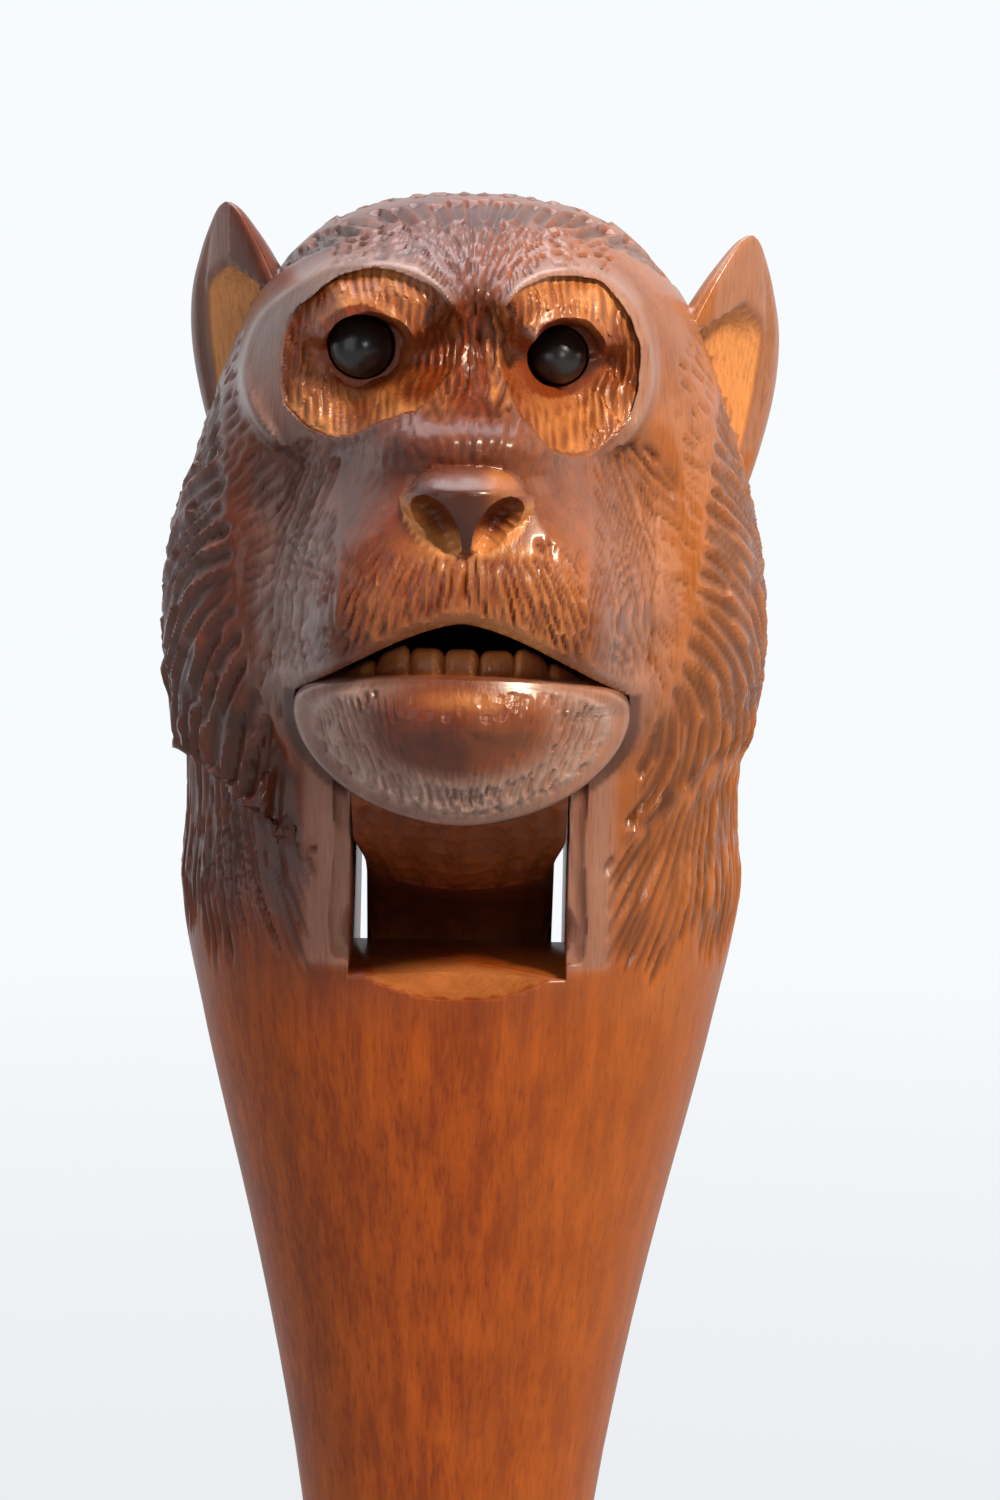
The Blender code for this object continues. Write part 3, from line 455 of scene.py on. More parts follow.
def tree_of(points):
    tree = kdtree.KDTree(len(points))
    for index, point in enumerate(points):
        tree.insert(point, index)
    tree.balance()
    return tree


def flat_backed(ring):
    """Flattens the back of a bead's unit rings."""
    x, y, z = ring.T
    return np.stack([x, np.minimum(y, BEAD_FLAT_BACK), z], axis=1)


def skin_nearest(points, carved):
    """For each point the nearest one of the carved skin, and how surely it lies on that skin, 0 to 1."""
    tree = tree_of(carved)
    found = [tree.find(point) for point in points]
    index = np.array([at for _, at, _ in found])
    away = np.array([distance for _, _, distance in found])
    return index, 1 - smooth_step(away, 0.12, 0.5)


def grid_normals(grid):
    along = np.roll(grid, -1, axis=1) - np.roll(grid, 1, axis=1)
    return unit(np.cross(along, np.gradient(grid, axis=0)))


class Stroke(NamedTuple):
    """One kind of gouge mark, in millimetres except for the shares.

    Across and along are the room it takes, length and width its size, and cut its depth as a share of
    a depth setting. Steep is the share of the width that its steeper wall takes. Rise and fall are
    the shares of its length where it reaches and leaves its full depth.
    """

    across: float
    along: float
    length: float
    width: float
    cut: float = 1.0
    steep: float = 1.0
    rise: float = 0.3
    fall: float = 0.7


class GougeMarks:
    """Marks of a gouge laid on a surface of points, and how deep they cut it."""

    STEP = 0.5
    MOST_STARTS = 9000
    FULL_MARK_DEPTH = 0.4

    def __init__(self, points, normals, seed):
        self.points, self.normals = points, normals
        self.tree = tree_of(points)
        self.depth = np.zeros(len(points))
        self.mark = np.zeros(len(points))
        self.random = np.random.default_rng(seed)

    def lay(self, where, flow, stroke, depth_setting, key=None, starts=None):
        """Marks wherever where holds, spaced across and along the flow and laid in the key's order."""
        flow = unit(flow - self.normals * (flow * self.normals).sum(axis=1, keepdims=True))
        depth = stroke.cut * (depth_setting / MM)
        allowed = np.flatnonzero(where if starts is None else starts)
        order = self.random.permutation(allowed)[: self.MOST_STARTS]
        if key is not None:
            order = order[np.argsort(key[order], kind="stable")]
        centres = np.empty((len(order), 3))
        room = self.random.uniform(0.8, 1.3, len(order))
        count = 0
        for index in order:
            point = self.points[index]
            delta = centres[:count] - point
            forward = delta @ flow[index]
            sideways = (delta**2).sum(axis=1) - forward**2
            crowding = (forward / stroke.along) ** 2 + sideways / (stroke.across * room[count]) ** 2
            if count and (crowding < 1).any():
                continue
            centres[count] = point
            count += 1
            wanted = stroke.length * self.random.uniform(0.75, 1.25)
            path, aims = self.follow(point, index, flow, where, wanted)
            if len(path) > 2:
                spread = stroke.width * self.random.uniform(0.8, 1.2)
                self.press(path, aims, spread, depth * self.random.uniform(0.65, 1.3), stroke)

    def follow(self, point, index, flow, where, length):
        """The line of a mark through a point, both ways along the flow."""
        halves = []
        for sense in (-1, 1):
            place, at, found = point, index, []
            for _ in range(int(length / 2 / self.STEP)):
                place = place + flow[at] * sense * self.STEP
                _, at, _ = self.tree.find(place)
                place = place - self.normals[at] * ((place - self.points[at]) @ self.normals[at])
                if not where[at]:
                    break
                found.append((place, at))
            halves.append(found)
        whole = halves[0][::-1] + [(point, index)] + halves[1]
        return np.array([place for place, _ in whole]), [at for _, at in whole]

    def press(self, path, at, width, depth, stroke):
        """Cuts one mark: a channel with a steep upper wall, which starts and ends softly."""
        aims = unit(np.gradient(path, axis=0))
        sides = np.cross(self.normals[at], aims)
        if (sides[:, 2] + 0.3 * sides[:, 0] * np.sign(path[:, 0])).sum() < 0:
            sides = -sides
        reach = self.STEP * len(path) / 2 + width
        near = self.tree.find_range(path[len(path) // 2], reach)
        near = np.array([index for _, index, _ in near])
        delta = self.points[near][:, None, :] - path[None, :, :]
        nearest = (delta**2).sum(axis=2).argmin(axis=1)
        delta = delta[np.arange(len(near)), nearest]
        forward = (delta * aims[nearest]).sum(axis=1)
        share = (nearest * self.STEP + forward) / (self.STEP * (len(path) - 1))
        strength = smooth_step(share, -0.02, stroke.rise) * (1 - smooth_step(share, stroke.fall, 1.02))
        across = (delta * sides[nearest]).sum(axis=1) / (width * (0.4 + 0.6 * strength))
        profile = np.where(across > 0, 1 - across / stroke.steep, 1 + across)
        profile = np.clip(profile, 0, 1) * strength
        profile = profile * (1.5 - 0.5 * profile)
        self.depth[near] = np.maximum(self.depth[near], depth * profile)
        self.mark[near] = np.maximum(self.mark[near], profile * min(1, depth / self.FULL_MARK_DEPTH))


# The head


def head_stations(count):
    """The heights at which the head has a ring, closest together where it is carved."""
    dense = smooth_curve(CORE, 24)
    height = dense[:, 0]
    weights = 0.12 + 0.98 * smooth_step(height, 116, 128) + 0.15 * smooth_step(height, 148, 154)
    picked = evenly_along(dense, weights, count)
    low, high = REAR_SHOULDER - SHOULDER_RISE, REAR_SHOULDER
    kept = picked[(picked[:, 0] < low) | (picked[:, 0] > high)]
    collar = [[np.interp(at, height, column) for column in dense.T] for at in (low, high)]
    joined = np.vstack([kept, collar])
    return joined[np.argsort(joined[:, 0], kind="stable")]


def socket_edge(turn, side):
    edge = smooth_curve(SOCKET_OUTLINE[side], 6)
    return np.interp(turn, edge[:, 0], edge[:, 1])


def socket_radius(x, z, side):
    """How far a place lies from a socket's middle, as a share of its edge, and how far out and up."""
    out = (SIDES[side] * x - SOCKET_OFFSET[side]) / SOCKET_HALF_WIDTH[side]
    up = (z - SOCKET_HEIGHT) / SOCKET_HALF_HEIGHT
    turn = np.degrees(np.arctan2(up, out))
    return np.hypot(out, up) / socket_edge(turn, side), out, up


def brow_band(x, z):
    """The smooth lid over each socket and the wider band outside it, crested along its outer edge."""
    lift = np.zeros(len(x))
    for side in SIDES:
        radius, out, up = socket_radius(x, z, side)
        turn = np.degrees(np.arctan2(up, out))
        edge = np.interp(turn, *zip(*BROW_EDGE))
        edge = edge if side == "left" else 0.4 * edge + 0.65
        window = smooth_step(turn, -85, -40) * (1 - smooth_step(turn, 140, 165))
        crest = np.exp(-(((radius - edge + 0.03) / 0.07) ** 2))
        lift = np.maximum(lift, window * (smooth_step(radius, edge + 0.12, edge - 0.06) + 0.3 * crest))
    return lift


def bridge_hollow(x, z):
    """Between the sockets the bridge lies back under the brow, ribbed by upright cuts."""
    from_middle = x - NOSE_MIDDLE
    bridge = np.exp(-((np.abs(from_middle) / 4.2) ** 4)) * smooth_step(z, 176.0, 178.2)
    bridge = bridge * smooth_step(z, 187.0, 183.0)
    return bridge * (2.3 - 0.4 * np.exp(-(from_middle**2)))


def muzzle_relief(x, z):
    """How far the muzzle's forms lie back from the plain face; less than 0 stands out.

    The upper lip rolls in over the mouth, and its two lobes end in a crease beside the cheeks. An
    arch of hair crosses the snout over the nose, under the sockets.
    """
    wide = np.abs(x)
    over_lip = z - lip_line(x)
    roll = np.clip(1 - over_lip / 1.7, 0, 1) ** 2
    roll = roll * smooth_step(over_lip, -3, 0) * smooth_step(wide, 15.5, 13)
    under = (z - LOBE_HEIGHT) * np.where(z > LOBE_HEIGHT, 1.0, 0.5)
    dome = 0.9 - 3.4 * smooth_step(np.hypot(np.maximum(wide - LOBE_OFFSET, 0), under), 2.5, 13.0)
    dome = dome * smooth_step(z, 150, 156) * smooth_step(z, 175.5, 171.5) * smooth_step(wide, 18.5, 13)
    crease = np.exp(-(((wide - 15.6) / 2.2) ** 2)) * smooth_step(z, 152.5, 157)
    crease = crease * smooth_step(z, 173, 167)
    cleft = np.exp(-(((x - FACE_MIDDLE) / 0.8) ** 2)) * smooth_step(z, 160, 162)
    cleft = cleft * smooth_step(z, 167, 165)
    arch = np.exp(-(((z - 175.6 + 0.05 * x**2) / 1.9) ** 2)) * smooth_step(wide, 11, 6)
    snout = np.exp(-(((z - 172.8) / 1.9) ** 2) - (x / 5.8) ** 2)
    return 1.0 * roll - dome + 1.3 * crease + 0.35 * cleft - 1.0 * arch - 1.2 * snout


SMOOTH_FACE = smooth_curve(FACE, 8)


def shape_face(points, station):
    """Pulls the front of a ring out into the face."""
    x, y, z = points.T
    height, _, front_depth, _ = station
    reach, wide, full = (table_at(SMOOTH_FACE, height, column) for column in (1, 2, 3))
    if height < FACE[0][0] or height > FACE[-1][0]:
        reach = 0
    across = np.clip(np.abs(x) / wide, 0, 1)
    plan = 1 - smooth_step(across, 0.6 * full, 1)
    front = y < 0
    y = y - np.where(front, np.maximum(reach - front_depth, 0) * plan, 0)
    y = y - np.where(front, BROW_LIFT * brow_band(x, z), 0)
    y = y + np.where(front, bridge_hollow(x, z), 0)
    y = y + np.where(front, muzzle_relief(x, z), 0)
    return np.stack([x, y, z], axis=1)


def locks_edge(x, y):
    """The scalloped lower edge of the big locks."""
    sideways = smooth_step(np.abs(x), 12.5, 23.5)
    return 139.0 + 6.6 * sideways - 1.7 * scallops(round_head(x, y), 7.0, 5) + 0.5


def shape_locks(points):
    x, y, z = points.T
    edge = locks_edge(x, y)
    swell = smooth_step(z, edge - 0.5, edge + np.where(x > 0, 2.4, 0.7)) * np.where(x > 0, 0.8, 1.0)
    swell = swell * (1 - smooth_step(z, 160, 178))
    start = table_at(LOCKS_START, z, 1)
    beside_face = smooth_step(np.abs(x), start - 1.5, start + 3)
    swell = 1.5 * swell * np.where(y < 0, beside_face, 1)
    distance = np.maximum(np.hypot(x, y), 1)
    return np.stack([x + swell * x / distance, y + swell * y / distance, z], axis=1)


def meridians(count):
    """The angles of the columns, which run straight up the head, closest together over the face."""
    half_width, half_depth, steps = 25, 22, 2880
    angles = np.linspace(0, 2 * math.pi, steps + 1) + math.pi
    sine, cosine = superellipse(angles, NECK_SQUARENESS)
    points = np.stack([half_width * sine, -half_depth * cosine], axis=1)
    weights = 0.8 + 0.65 * smooth_step(points[:, 1], 12, 0)
    weights = weights + 0.9 * smooth_step(-cosine, 0.3, -0.6) * smooth_step(np.abs(sine), 0.8, 0.55)
    lengths = np.linalg.norm(np.diff(points, axis=0), axis=1)
    travelled = np.concatenate([[0], np.cumsum(lengths * weights[1:])])
    return np.interp(np.linspace(0, travelled[-1], count + 1)[:-1], travelled, angles)


def head_ring(station, angles):
    height, half_width, front, back = station
    sine, cosine = superellipse(angles, NECK_SQUARENESS)
    depth = np.where(cosine > 0, front, back)
    points = np.stack([half_width * sine, -depth * cosine, np.full(len(angles), height)], axis=1)
    if height < REAR_SHOULDER - SHOULDER_RISE / 2:
        points[:, 1] = soft_limit(points[:, 1], -HANDLE_GAP / 2, INNER_ROUNDING)
    return shape_locks(shape_face(points, station))


def lip_line(x):
    share = np.clip(np.abs(x) / JAW_HALF_WIDTH, 0, 1)
    return LIP_CORNER + (LIP_HEIGHT - LIP_CORNER) * (1 - share**1.5)


def round_head(x, y):
    """How far round the head a place lies, in degrees from the front."""
    return np.degrees(np.arctan2(x, -y))


def hair_flow(points):
    """Which way the hair lies: round the head from the face, falling or rising with height."""
    x, y, z = points.T
    radial = unit(np.stack([x, y], axis=1))
    side = np.where(x < 0, -1.0, 1.0)
    back = smooth_step(y, 4, 24)
    low = smooth_step(z, 186, 182)
    sway = 9 * ripple(z + 0.35 * round_head(x, y), 9.0, 61) * (y < 12)
    fall = table_at(HAIR_FALL, z, 1) + 16 * smooth_step(y, -12, 3) * low + sway
    fall = np.radians(fall * (1 - back) + 86 * back)
    inner = np.radians(30) * smooth_step(np.abs(x), 19, 12) * smooth_step(z, 151, 146)
    right_inner = np.radians(46) * smooth_step(x, 26, 15) * smooth_step(z, 152, 144)
    fall = fall + np.where(x > 0, right_inner, inner) * (y < 0)
    level = np.cos(fall) * smooth_step(np.abs(x), 0.5, 7)
    along = radial[:, 0] * side * level + 0.9 * smooth_step(z, 184, 190) * (1 - back)
    return np.stack([-radial[:, 1] * side * level, along, -np.sin(fall)], axis=1)


def neck_flow(points):
    """Straight down, leaning in towards the slot in front."""
    x, y, z = points.T
    right = np.where(x > 0, 1 + 0.7 * smooth_step(z, 130, 142), 1)
    lean = 0.56 * smooth_step(np.abs(x), 25, 15) * (y < 2) * right
    return np.stack([-lean * np.sign(x), np.zeros(len(x)), -np.ones(len(x))], axis=1)


def muzzle_flow(points):
    """Arcs round each lobe of the upper lip, from the nose out and down to the mouth."""
    x, _, z = points.T
    side = np.where(x < FACE_MIDDLE, -1.0, 1.0)
    out, up = side * (x - FACE_MIDDLE) - LOBE_OFFSET, z - ARCS_HEIGHT
    return np.stack([side * up, np.zeros(len(x)), -out], axis=1)


def lip_flow(points):
    """Strokes down the front of the upper lip, spreading from the nose."""
    x, _, z = points.T
    return np.stack([(x - FACE_MIDDLE) * 0.9, np.zeros(len(x)), -(176.0 - z)], axis=1)


def bridge_flow(points):
    """A fan that rises from the nose over its bridge."""
    x, _, z = points.T
    return np.stack([(x - 0.4) * 1.1, np.full(len(x), 1.5), np.maximum(z - 167, 1.0)], axis=1)


def crown_flow(points):
    """A fan from between the brows up and back over the crown."""
    x, y, z = points.T
    back, up = 2.0 + np.maximum(y + 20, 0), np.maximum(z - 181, 2.0)
    return np.stack([(x - FACE_MIDDLE) * 0.9, back, up], axis=1)


def socket_cuts(x, z, side):
    """How deep the chisel bites into each place of a socket's wall, round the smooth ring of the bead."""
    eye_x, _, eye_z = EYE_PLACE[side]
    from_bead = np.hypot(x - eye_x, z - eye_z) / (EYE_RADIUS[side] + 0.9)
    row = np.floor(z / 3.1 + 0.5 * ripple(x, 3.0, 31))
    ribs = scallops(x + 0.3 * ripple(z, 5.0, 7) + 0.53 * row, 0.78, 11 + SIDES[side])
    chips = scallops(z + 1.6 * ripple(x, 3.0, 31), 3.1, 21 + SIDES[side])
    return smooth_step(from_bead, 0.95, 1.35) * (0.65 * ribs + 0.35 * chips)


# Room across and along, length, width and cut of each kind of mark on the head.
HEAD_STROKES = {
    "neck": Stroke(0.95, 6.0, 13.0, 0.7, 1.0, steep=0.7, fall=0.6),
    "left locks": Stroke(1.75, 8.0, 12.0, 1.5, 1.0, steep=0.55, fall=0.92),
    "right locks": Stroke(1.45, 8.0, 12.0, 1.2, 0.7, steep=0.65, fall=0.85),
    "fine locks": Stroke(0.9, 3.4, 5.5, 0.45, 0.32, steep=0.8),
    "front of crown": Stroke(1.62, 2.5, 9.0, 1.05, 1.25, steep=0.5, rise=0.25, fall=0.85),
    "crown": Stroke(1.7, 8.5, 9.5, 1.05, 1.0, steep=0.55, fall=0.85),
    "ticks": Stroke(1.3, 2.2, 1.8, 0.3, 0.6),
    "notch": Stroke(0.62, 2.8, 4.4, 0.36, 1.6, steep=0.8, fall=0.8),
    "brow": Stroke(0.8, 2.4, 2.8, 0.4, 1.5, steep=0.7, fall=0.8),
    "temple": Stroke(1.1, 3.0, 3.6, 0.5, 1.5, steep=0.6),
    "cheek": Stroke(0.95, 4.0, 6.0, 0.42, 1.3, steep=0.7),
    "beside nose": Stroke(0.8, 2.6, 4.0, 0.5, 0.6, steep=0.9),
    "lobes": Stroke(0.74, 7.0, 9.5, 0.46, 1.7, steep=0.7, rise=0.2, fall=0.85),
    "lip": Stroke(0.64, 3.0, 4.4, 0.42, 1.9, steep=0.6, rise=0.25, fall=0.75),
    "bridge": Stroke(0.8, 2.6, 3.6, 0.55, 1.15, steep=0.9),
    "between eyes": Stroke(0.8, 3.0, 5.0, 0.5, 2.0, steep=0.8),
}


class HeadMarks:
    """Lays the gouge marks of the head, each kind in its own part of it."""

    def __init__(self, marks, grain):
        self.marks, self.grain = marks, grain
        self.x, self.y, self.z = x, y, z = marks.points.T
        self.wide = np.abs(x)
        self.near_socket = np.minimum(*(socket_radius(x, z, side)[0] for side in SIDES))
        self.smooth_face = ((brow_band(x, z) > 0.25) | (self.near_socket < 1.06)) & (y < -8)
        self.locks_start = table_at(LOCKS_START, z, 1)
        self.down = np.zeros((len(x), 3)) - (0, 0, 1.0)

    def lay(self, kind, where, flow, depth_setting, key=None, starts=None):
        self.marks.lay(where, flow, HEAD_STROKES[kind], depth_setting, key, starts)

    def neck_and_locks(self):
        """Long marks down the neck, and the big locks with finer hair between them."""
        x, y, z, wide = self.x, self.y, self.z, self.wide
        edge = locks_edge(x, y)
        turn = round_head(x, y)
        ragged = 127.0 + 2.6 * ripple(turn, 14, 3)
        neck = (z > ragged) & (z < edge + 0.3) & ((wide > 12.2) | (y > 0))
        self.lay("neck", neck, neck_flow(self.marks.points), self.grain.neck_depth, turn)
        hair = hair_flow(self.marks.points)
        beside_face = (y > -4) | (wide > self.locks_start)
        locks = (z > edge - 0.3) & (z < LOCKS_TOP + 9 * smooth_step(y, 0, 9)) & beside_face
        locks = locks & ~((wide < self.locks_start) & (y < 0))
        self.lay("left locks", locks & (x < 0), hair, self.grain.lock_depth, -z)
        self.lay("right locks", locks & (x >= 0), hair, self.grain.lock_depth, -z)
        self.lay("fine locks", locks, hair, self.grain.lock_depth)
        return locks

    def crown(self):
        """A front row of marks in an arch over the face, rows behind it, and short ones before it."""
        x, y, z, wide = self.x, self.y, self.z, self.wide
        crown = crown_flow(self.marks.points)
        depth, fine = self.grain.crown_depth, self.grain.fine_depth
        arch = np.hypot(0.5 * (x - FACE_MIDDLE), z + 0.14 * (y + 3) - 181)
        front_row = ~self.smooth_face & (arch > 8.0) & (z > 182) & (y < 4) & (wide < 21.5)
        starts = front_row & (np.abs(arch - 10.6) < 0.3)
        self.lay("front of crown", front_row, crown, depth, x, starts)
        over = (z > BROW_TOP) & ~self.smooth_face & (arch > 11.8) & ((y > -4) | (arch > 12.4))
        self.lay("crown", over, crown, depth, y)
        self.lay("ticks", front_row & (arch < 10.5) & (wide < 12), crown, depth)
        clear = self.near_socket > 1.1
        notch = (z > BROW_TOP + 0.5) & (wide < 6.5) & (arch < 9.4) & (y < -12) & clear
        self.lay("notch", notch, crown, fine, x)
        brow = (z > BROW_TOP) & (arch < 9.6) & (y < -8) & (wide < 12) & clear & ~notch
        self.lay("brow", brow, crown, fine)
        return front_row

    def sides_of_face(self, locks, front_row):
        y, z, wide = self.y, self.z, self.wide
        hair, fine = hair_flow(self.marks.points), self.grain.fine_depth
        temple = (z > 170) & (z < BROW_TOP) & ~self.smooth_face & ~locks & ~front_row
        self.lay("temple", temple & (wide > 17.5) & (y < 0), hair, fine)
        cheek = (z > 146) & (z < 172) & (wide > 15.5) & (wide < self.locks_start + 0.5) & (y < -6)
        self.lay("cheek", cheek, hair, fine)

    def muzzle(self):
        """Arcs round the lobes of the muzzle, and short hair down the lip and over the nose."""
        x, y, z, wide = self.x, self.y, self.z, self.wide
        arcs, fine = muzzle_flow(self.marks.points), self.grain.fine_depth
        nose_pad = (wide < 5.8) & (z > 165.8) & (z < 171.8)
        muzzle = (z < 173.5) & (z - lip_line(x) > 0.9) & (wide < 16.5) & (y < -14) & ~nose_pad
        lip = muzzle & (wide < 10.2) & (z < 167.5 - 0.3 * np.maximum(wide - 5, 0))
        beside_nose = muzzle & (wide < 10.5) & (z > 166.2)
        self.lay("beside nose", beside_nose & ~lip, arcs, fine)
        self.lay("lobes", muzzle & ~lip & ~beside_nose, arcs, fine, -wide)
        self.lay("lip", lip, lip_flow(self.marks.points), fine, x)
        bridge = (z > 172.2) & (z < 178.4) & (wide < 13) & (self.near_socket > 1.0) & (y < -18)
        self.lay("bridge", bridge & ~nose_pad, bridge_flow(self.marks.points), fine, x)
        between = (z > 176.4) & (z < 186) & (wide < 3.6) & (y < -18)
        self.lay("between eyes", between, self.down, fine, x)

    def lay_all(self):
        """Each kind draws from the same random numbers, so their order is part of the look."""
        locks = self.neck_and_locks()
        front_row = self.crown()
        self.sides_of_face(locks, front_row)
        self.muzzle()


class FaceFront:
    """How far forward the uncarved face stands at a place of the front view."""

    LOW, HIGH, HALF_WIDTH = 162, 192, 20

    def __init__(self, grid):
        rows = [ring for ring in grid if self.LOW < ring[0, 2] < self.HIGH]
        self.heights = np.array([ring[0, 2] for ring in rows])
        self.across = np.linspace(-self.HALF_WIDTH, self.HALF_WIDTH, 161)
        self.front = []
        for ring in rows:
            ahead = ring[ring[:, 1] < -5]
            ahead = ahead[np.argsort(ahead[:, 0])]
            self.front.append(np.interp(self.across, ahead[:, 0], -ahead[:, 1]))
        self.front = np.array(self.front)

    def __call__(self, x, z):
        row = np.interp(z, self.heights, np.arange(len(self.heights)))
        column = np.interp(x, self.across, np.arange(len(self.across)))
        low_row = np.minimum(row.astype(int), len(self.heights) - 2)
        low_column = np.minimum(column.astype(int), len(self.across) - 2)
        up, over = row - low_row, column - low_column

        def along(at_row):
            return self.front[at_row, low_column] * (1 - over) + self.front[at_row, low_column + 1] * over

        return along(low_row) * (1 - up) + along(low_row + 1) * up


def socket_tool(side, face_front):
    """Cuts one socket down from the face to the bead's ring.

    Under the brow its wall is an upright facet with a drop to the bead at its foot, under the eye and
    beside the bridge it slopes, and on the outer side it is steep.
    """
    sign = SIDES[side]
    angles = angles_round(210)
    cosine, sine = np.cos(angles), np.sin(angles)
    turn = np.degrees(np.arctan2(sine, cosine))
    outline = socket_edge(turn, side) + 0.025 * ripple(turn, 30.0, 81 + sign)
    above = smooth_step(sine, 0.15, 0.6)
    below = smooth_step(-sine, 0.05, 0.6)
    inner = smooth_step(-cosine, 0.0, 0.6) * (1 - np.maximum(above, below))
    outer = 1 - above - below - inner
    drop = (0.8 + 0.25 * ripple(turn, 24.0, 91)) * above + 0.3 * below + 0.1 * inner + 0.7 * outer
    drop = drop * (1 - 0.75 * smooth_step(-cosine, 0.35, 0.8))
    rows = [(1.0, OVERRUN), (1.0, 4.0), *[(scale, 0) for scale in np.linspace(1.0, 0.06, 54)]]
    grid = []
    for scale, wall in rows:
        x = sign * (SOCKET_OFFSET[side] + scale * outline * SOCKET_HALF_WIDTH[side] * cosine)
        z = SOCKET_HEIGHT + scale * outline * SOCKET_HALF_HEIGHT * sine
        facet = smooth_step(scale, 0.42, 0.56)
        slope = np.clip((scale - 0.36) / 0.64, 0, 1) ** 1.1
        steep = 0.12 * scale + 0.88 * smooth_step(scale, 0.62, 1.0)
        share = above * facet + below * slope + inner * slope + outer * steep
        ring = BEAD_RING_DEPTH - 1.4 * scale * cosine
        floor = ring + (np.maximum(face_front(x, z) - drop, ring) - ring) * share
        depth = 0.5 * socket_cuts(x, z, side) * smooth_step(scale, 0.15, 0.5)
        grid.append(np.stack([x, -(floor + wall) + depth * smooth_step(scale, 1.02, 0.9), z], axis=1))
    return grid_object(f"socket_{side}", grid)


def nose_form():
    """The pad: a flat top, a flat front that narrows to the lip, and crisp corners between."""
    angles = angles_round(120)
    grid = []
    for height, wide, front in smooth_curve(NOSE, 8):
        sine, cosine = superellipse(angles, 2.5 - 0.4 * float(smooth_step(height, 171.5, 169.5)))
        bow = 1 - 0.03 * (1 - np.abs(sine)) * smooth_step(height, 166, 171)
        y = -NOSE_ROOT - (front - NOSE_ROOT) * cosine / bow
        grid.append(np.stack([NOSE_MIDDLE + wide * sine, y, np.full(len(angles), height)], axis=1))
    return grid_object("nose_form", grid)


# The edge of a nostril: distance from the middle of the nose, and height.
NOSTRIL_EDGE = [
    (0.4, 166.0), (0.5, 167.2), (1.0, 168.6), (2.1, 170.0), (3.8, 170.7),
    (5.2, 170.4), (5.4, 169.3), (4.8, 167.8), (3.2, 166.2), (1.4, 165.3),
]
NOSTRIL_DEEPEST = (2.4, 168.4)


def nostril_outline():
    return smooth_curve([*NOSTRIL_EDGE, NOSTRIL_EDGE[0]], 8)[:-1]


def nostril_share(out, z):
    """How far a place lies from a nostril's deepest place, as a share of its edge, and its turn."""
    edge = nostril_outline() - NOSTRIL_DEEPEST
    turns = np.degrees(np.arctan2(edge[:, 1], edge[:, 0]))
    out, up = out - NOSTRIL_DEEPEST[0], z - NOSTRIL_DEEPEST[1]
    turn = np.degrees(np.arctan2(up, out))
    return np.hypot(out, up) / np.interp(turn, turns, np.hypot(*edge.T), period=360), turn


def nostril_tool(side):
    """A three-cornered hollow, deepest under the front of the nose and shallow at its wing."""
    edge = nostril_outline()
    scales = np.linspace(1, 0.05, 24)
    rows = [(1.0, -46.0), *[(scale, -37.9 + 3.4 * (1 - scale**2) ** 0.7) for scale in scales]]
    grid = []
    for scale, depth in rows:
        place = NOSTRIL_DEEPEST + (edge - NOSTRIL_DEEPEST) * scale
        bite = 0.25 * scallops(place[:, 1] + 0.6 * place[:, 0], 1.1, 51) * (scale < 1)
        x = NOSE_MIDDLE + SIDES[side] * place[:, 0]
        grid.append(np.stack([x, depth + bite, place[:, 1]], axis=1))
    return grid_object(f"nostril_{side}", grid)


# Tip, base and half width of each ear.
EAR_PLACE = {
    "left": ((-21.7, 1.5, 192.6), (-18.6, 3.0, 167.6), 8.2),
    "right": ((24.4, 1.5, 190.6), (19.6, 3.0, 162.6), 8.8),
}
# How far up the ear a place is, and its share of the half width there.
EAR_WIDTHS = [
    (0.0, 0.55), (0.2, 0.86), (0.45, 1.0), (0.65, 0.9),
    (0.82, 0.6), (0.93, 0.33), (0.98, 0.17), (1.0, 0.04),
]
EAR_TURN = math.radians(54)


def ear_frame(side):
    """The ear's base, its run to the tip, and its directions outwards and backwards."""
    sign = SIDES[side]
    tip, base, _ = EAR_PLACE[side]
    across = np.array([sign * math.cos(EAR_TURN), math.sin(EAR_TURN), 0])
    behind = np.array([-sign * math.sin(EAR_TURN), math.cos(EAR_TURN), 0])
    return np.array(base), np.array(tip) - base, across, behind


def ear_width(share):
    widths = smooth_curve(EAR_WIDTHS, 8)
    return np.interp(share, widths[:, 0], widths[:, 1])


def ear_scoop(out, share):
    """How deep the ear is scooped, from its inner edge out to the rim and up to the smooth tip."""
    scoop = smooth_step(out, -1.0, -0.6) * np.clip((0.66 - out) / 1.1, 0, 1)
    top = 0.8 - 0.1 * np.abs(out)
    return scoop * smooth_step(share, 0.0, 0.3) * smooth_step(share, top, top - 0.08)


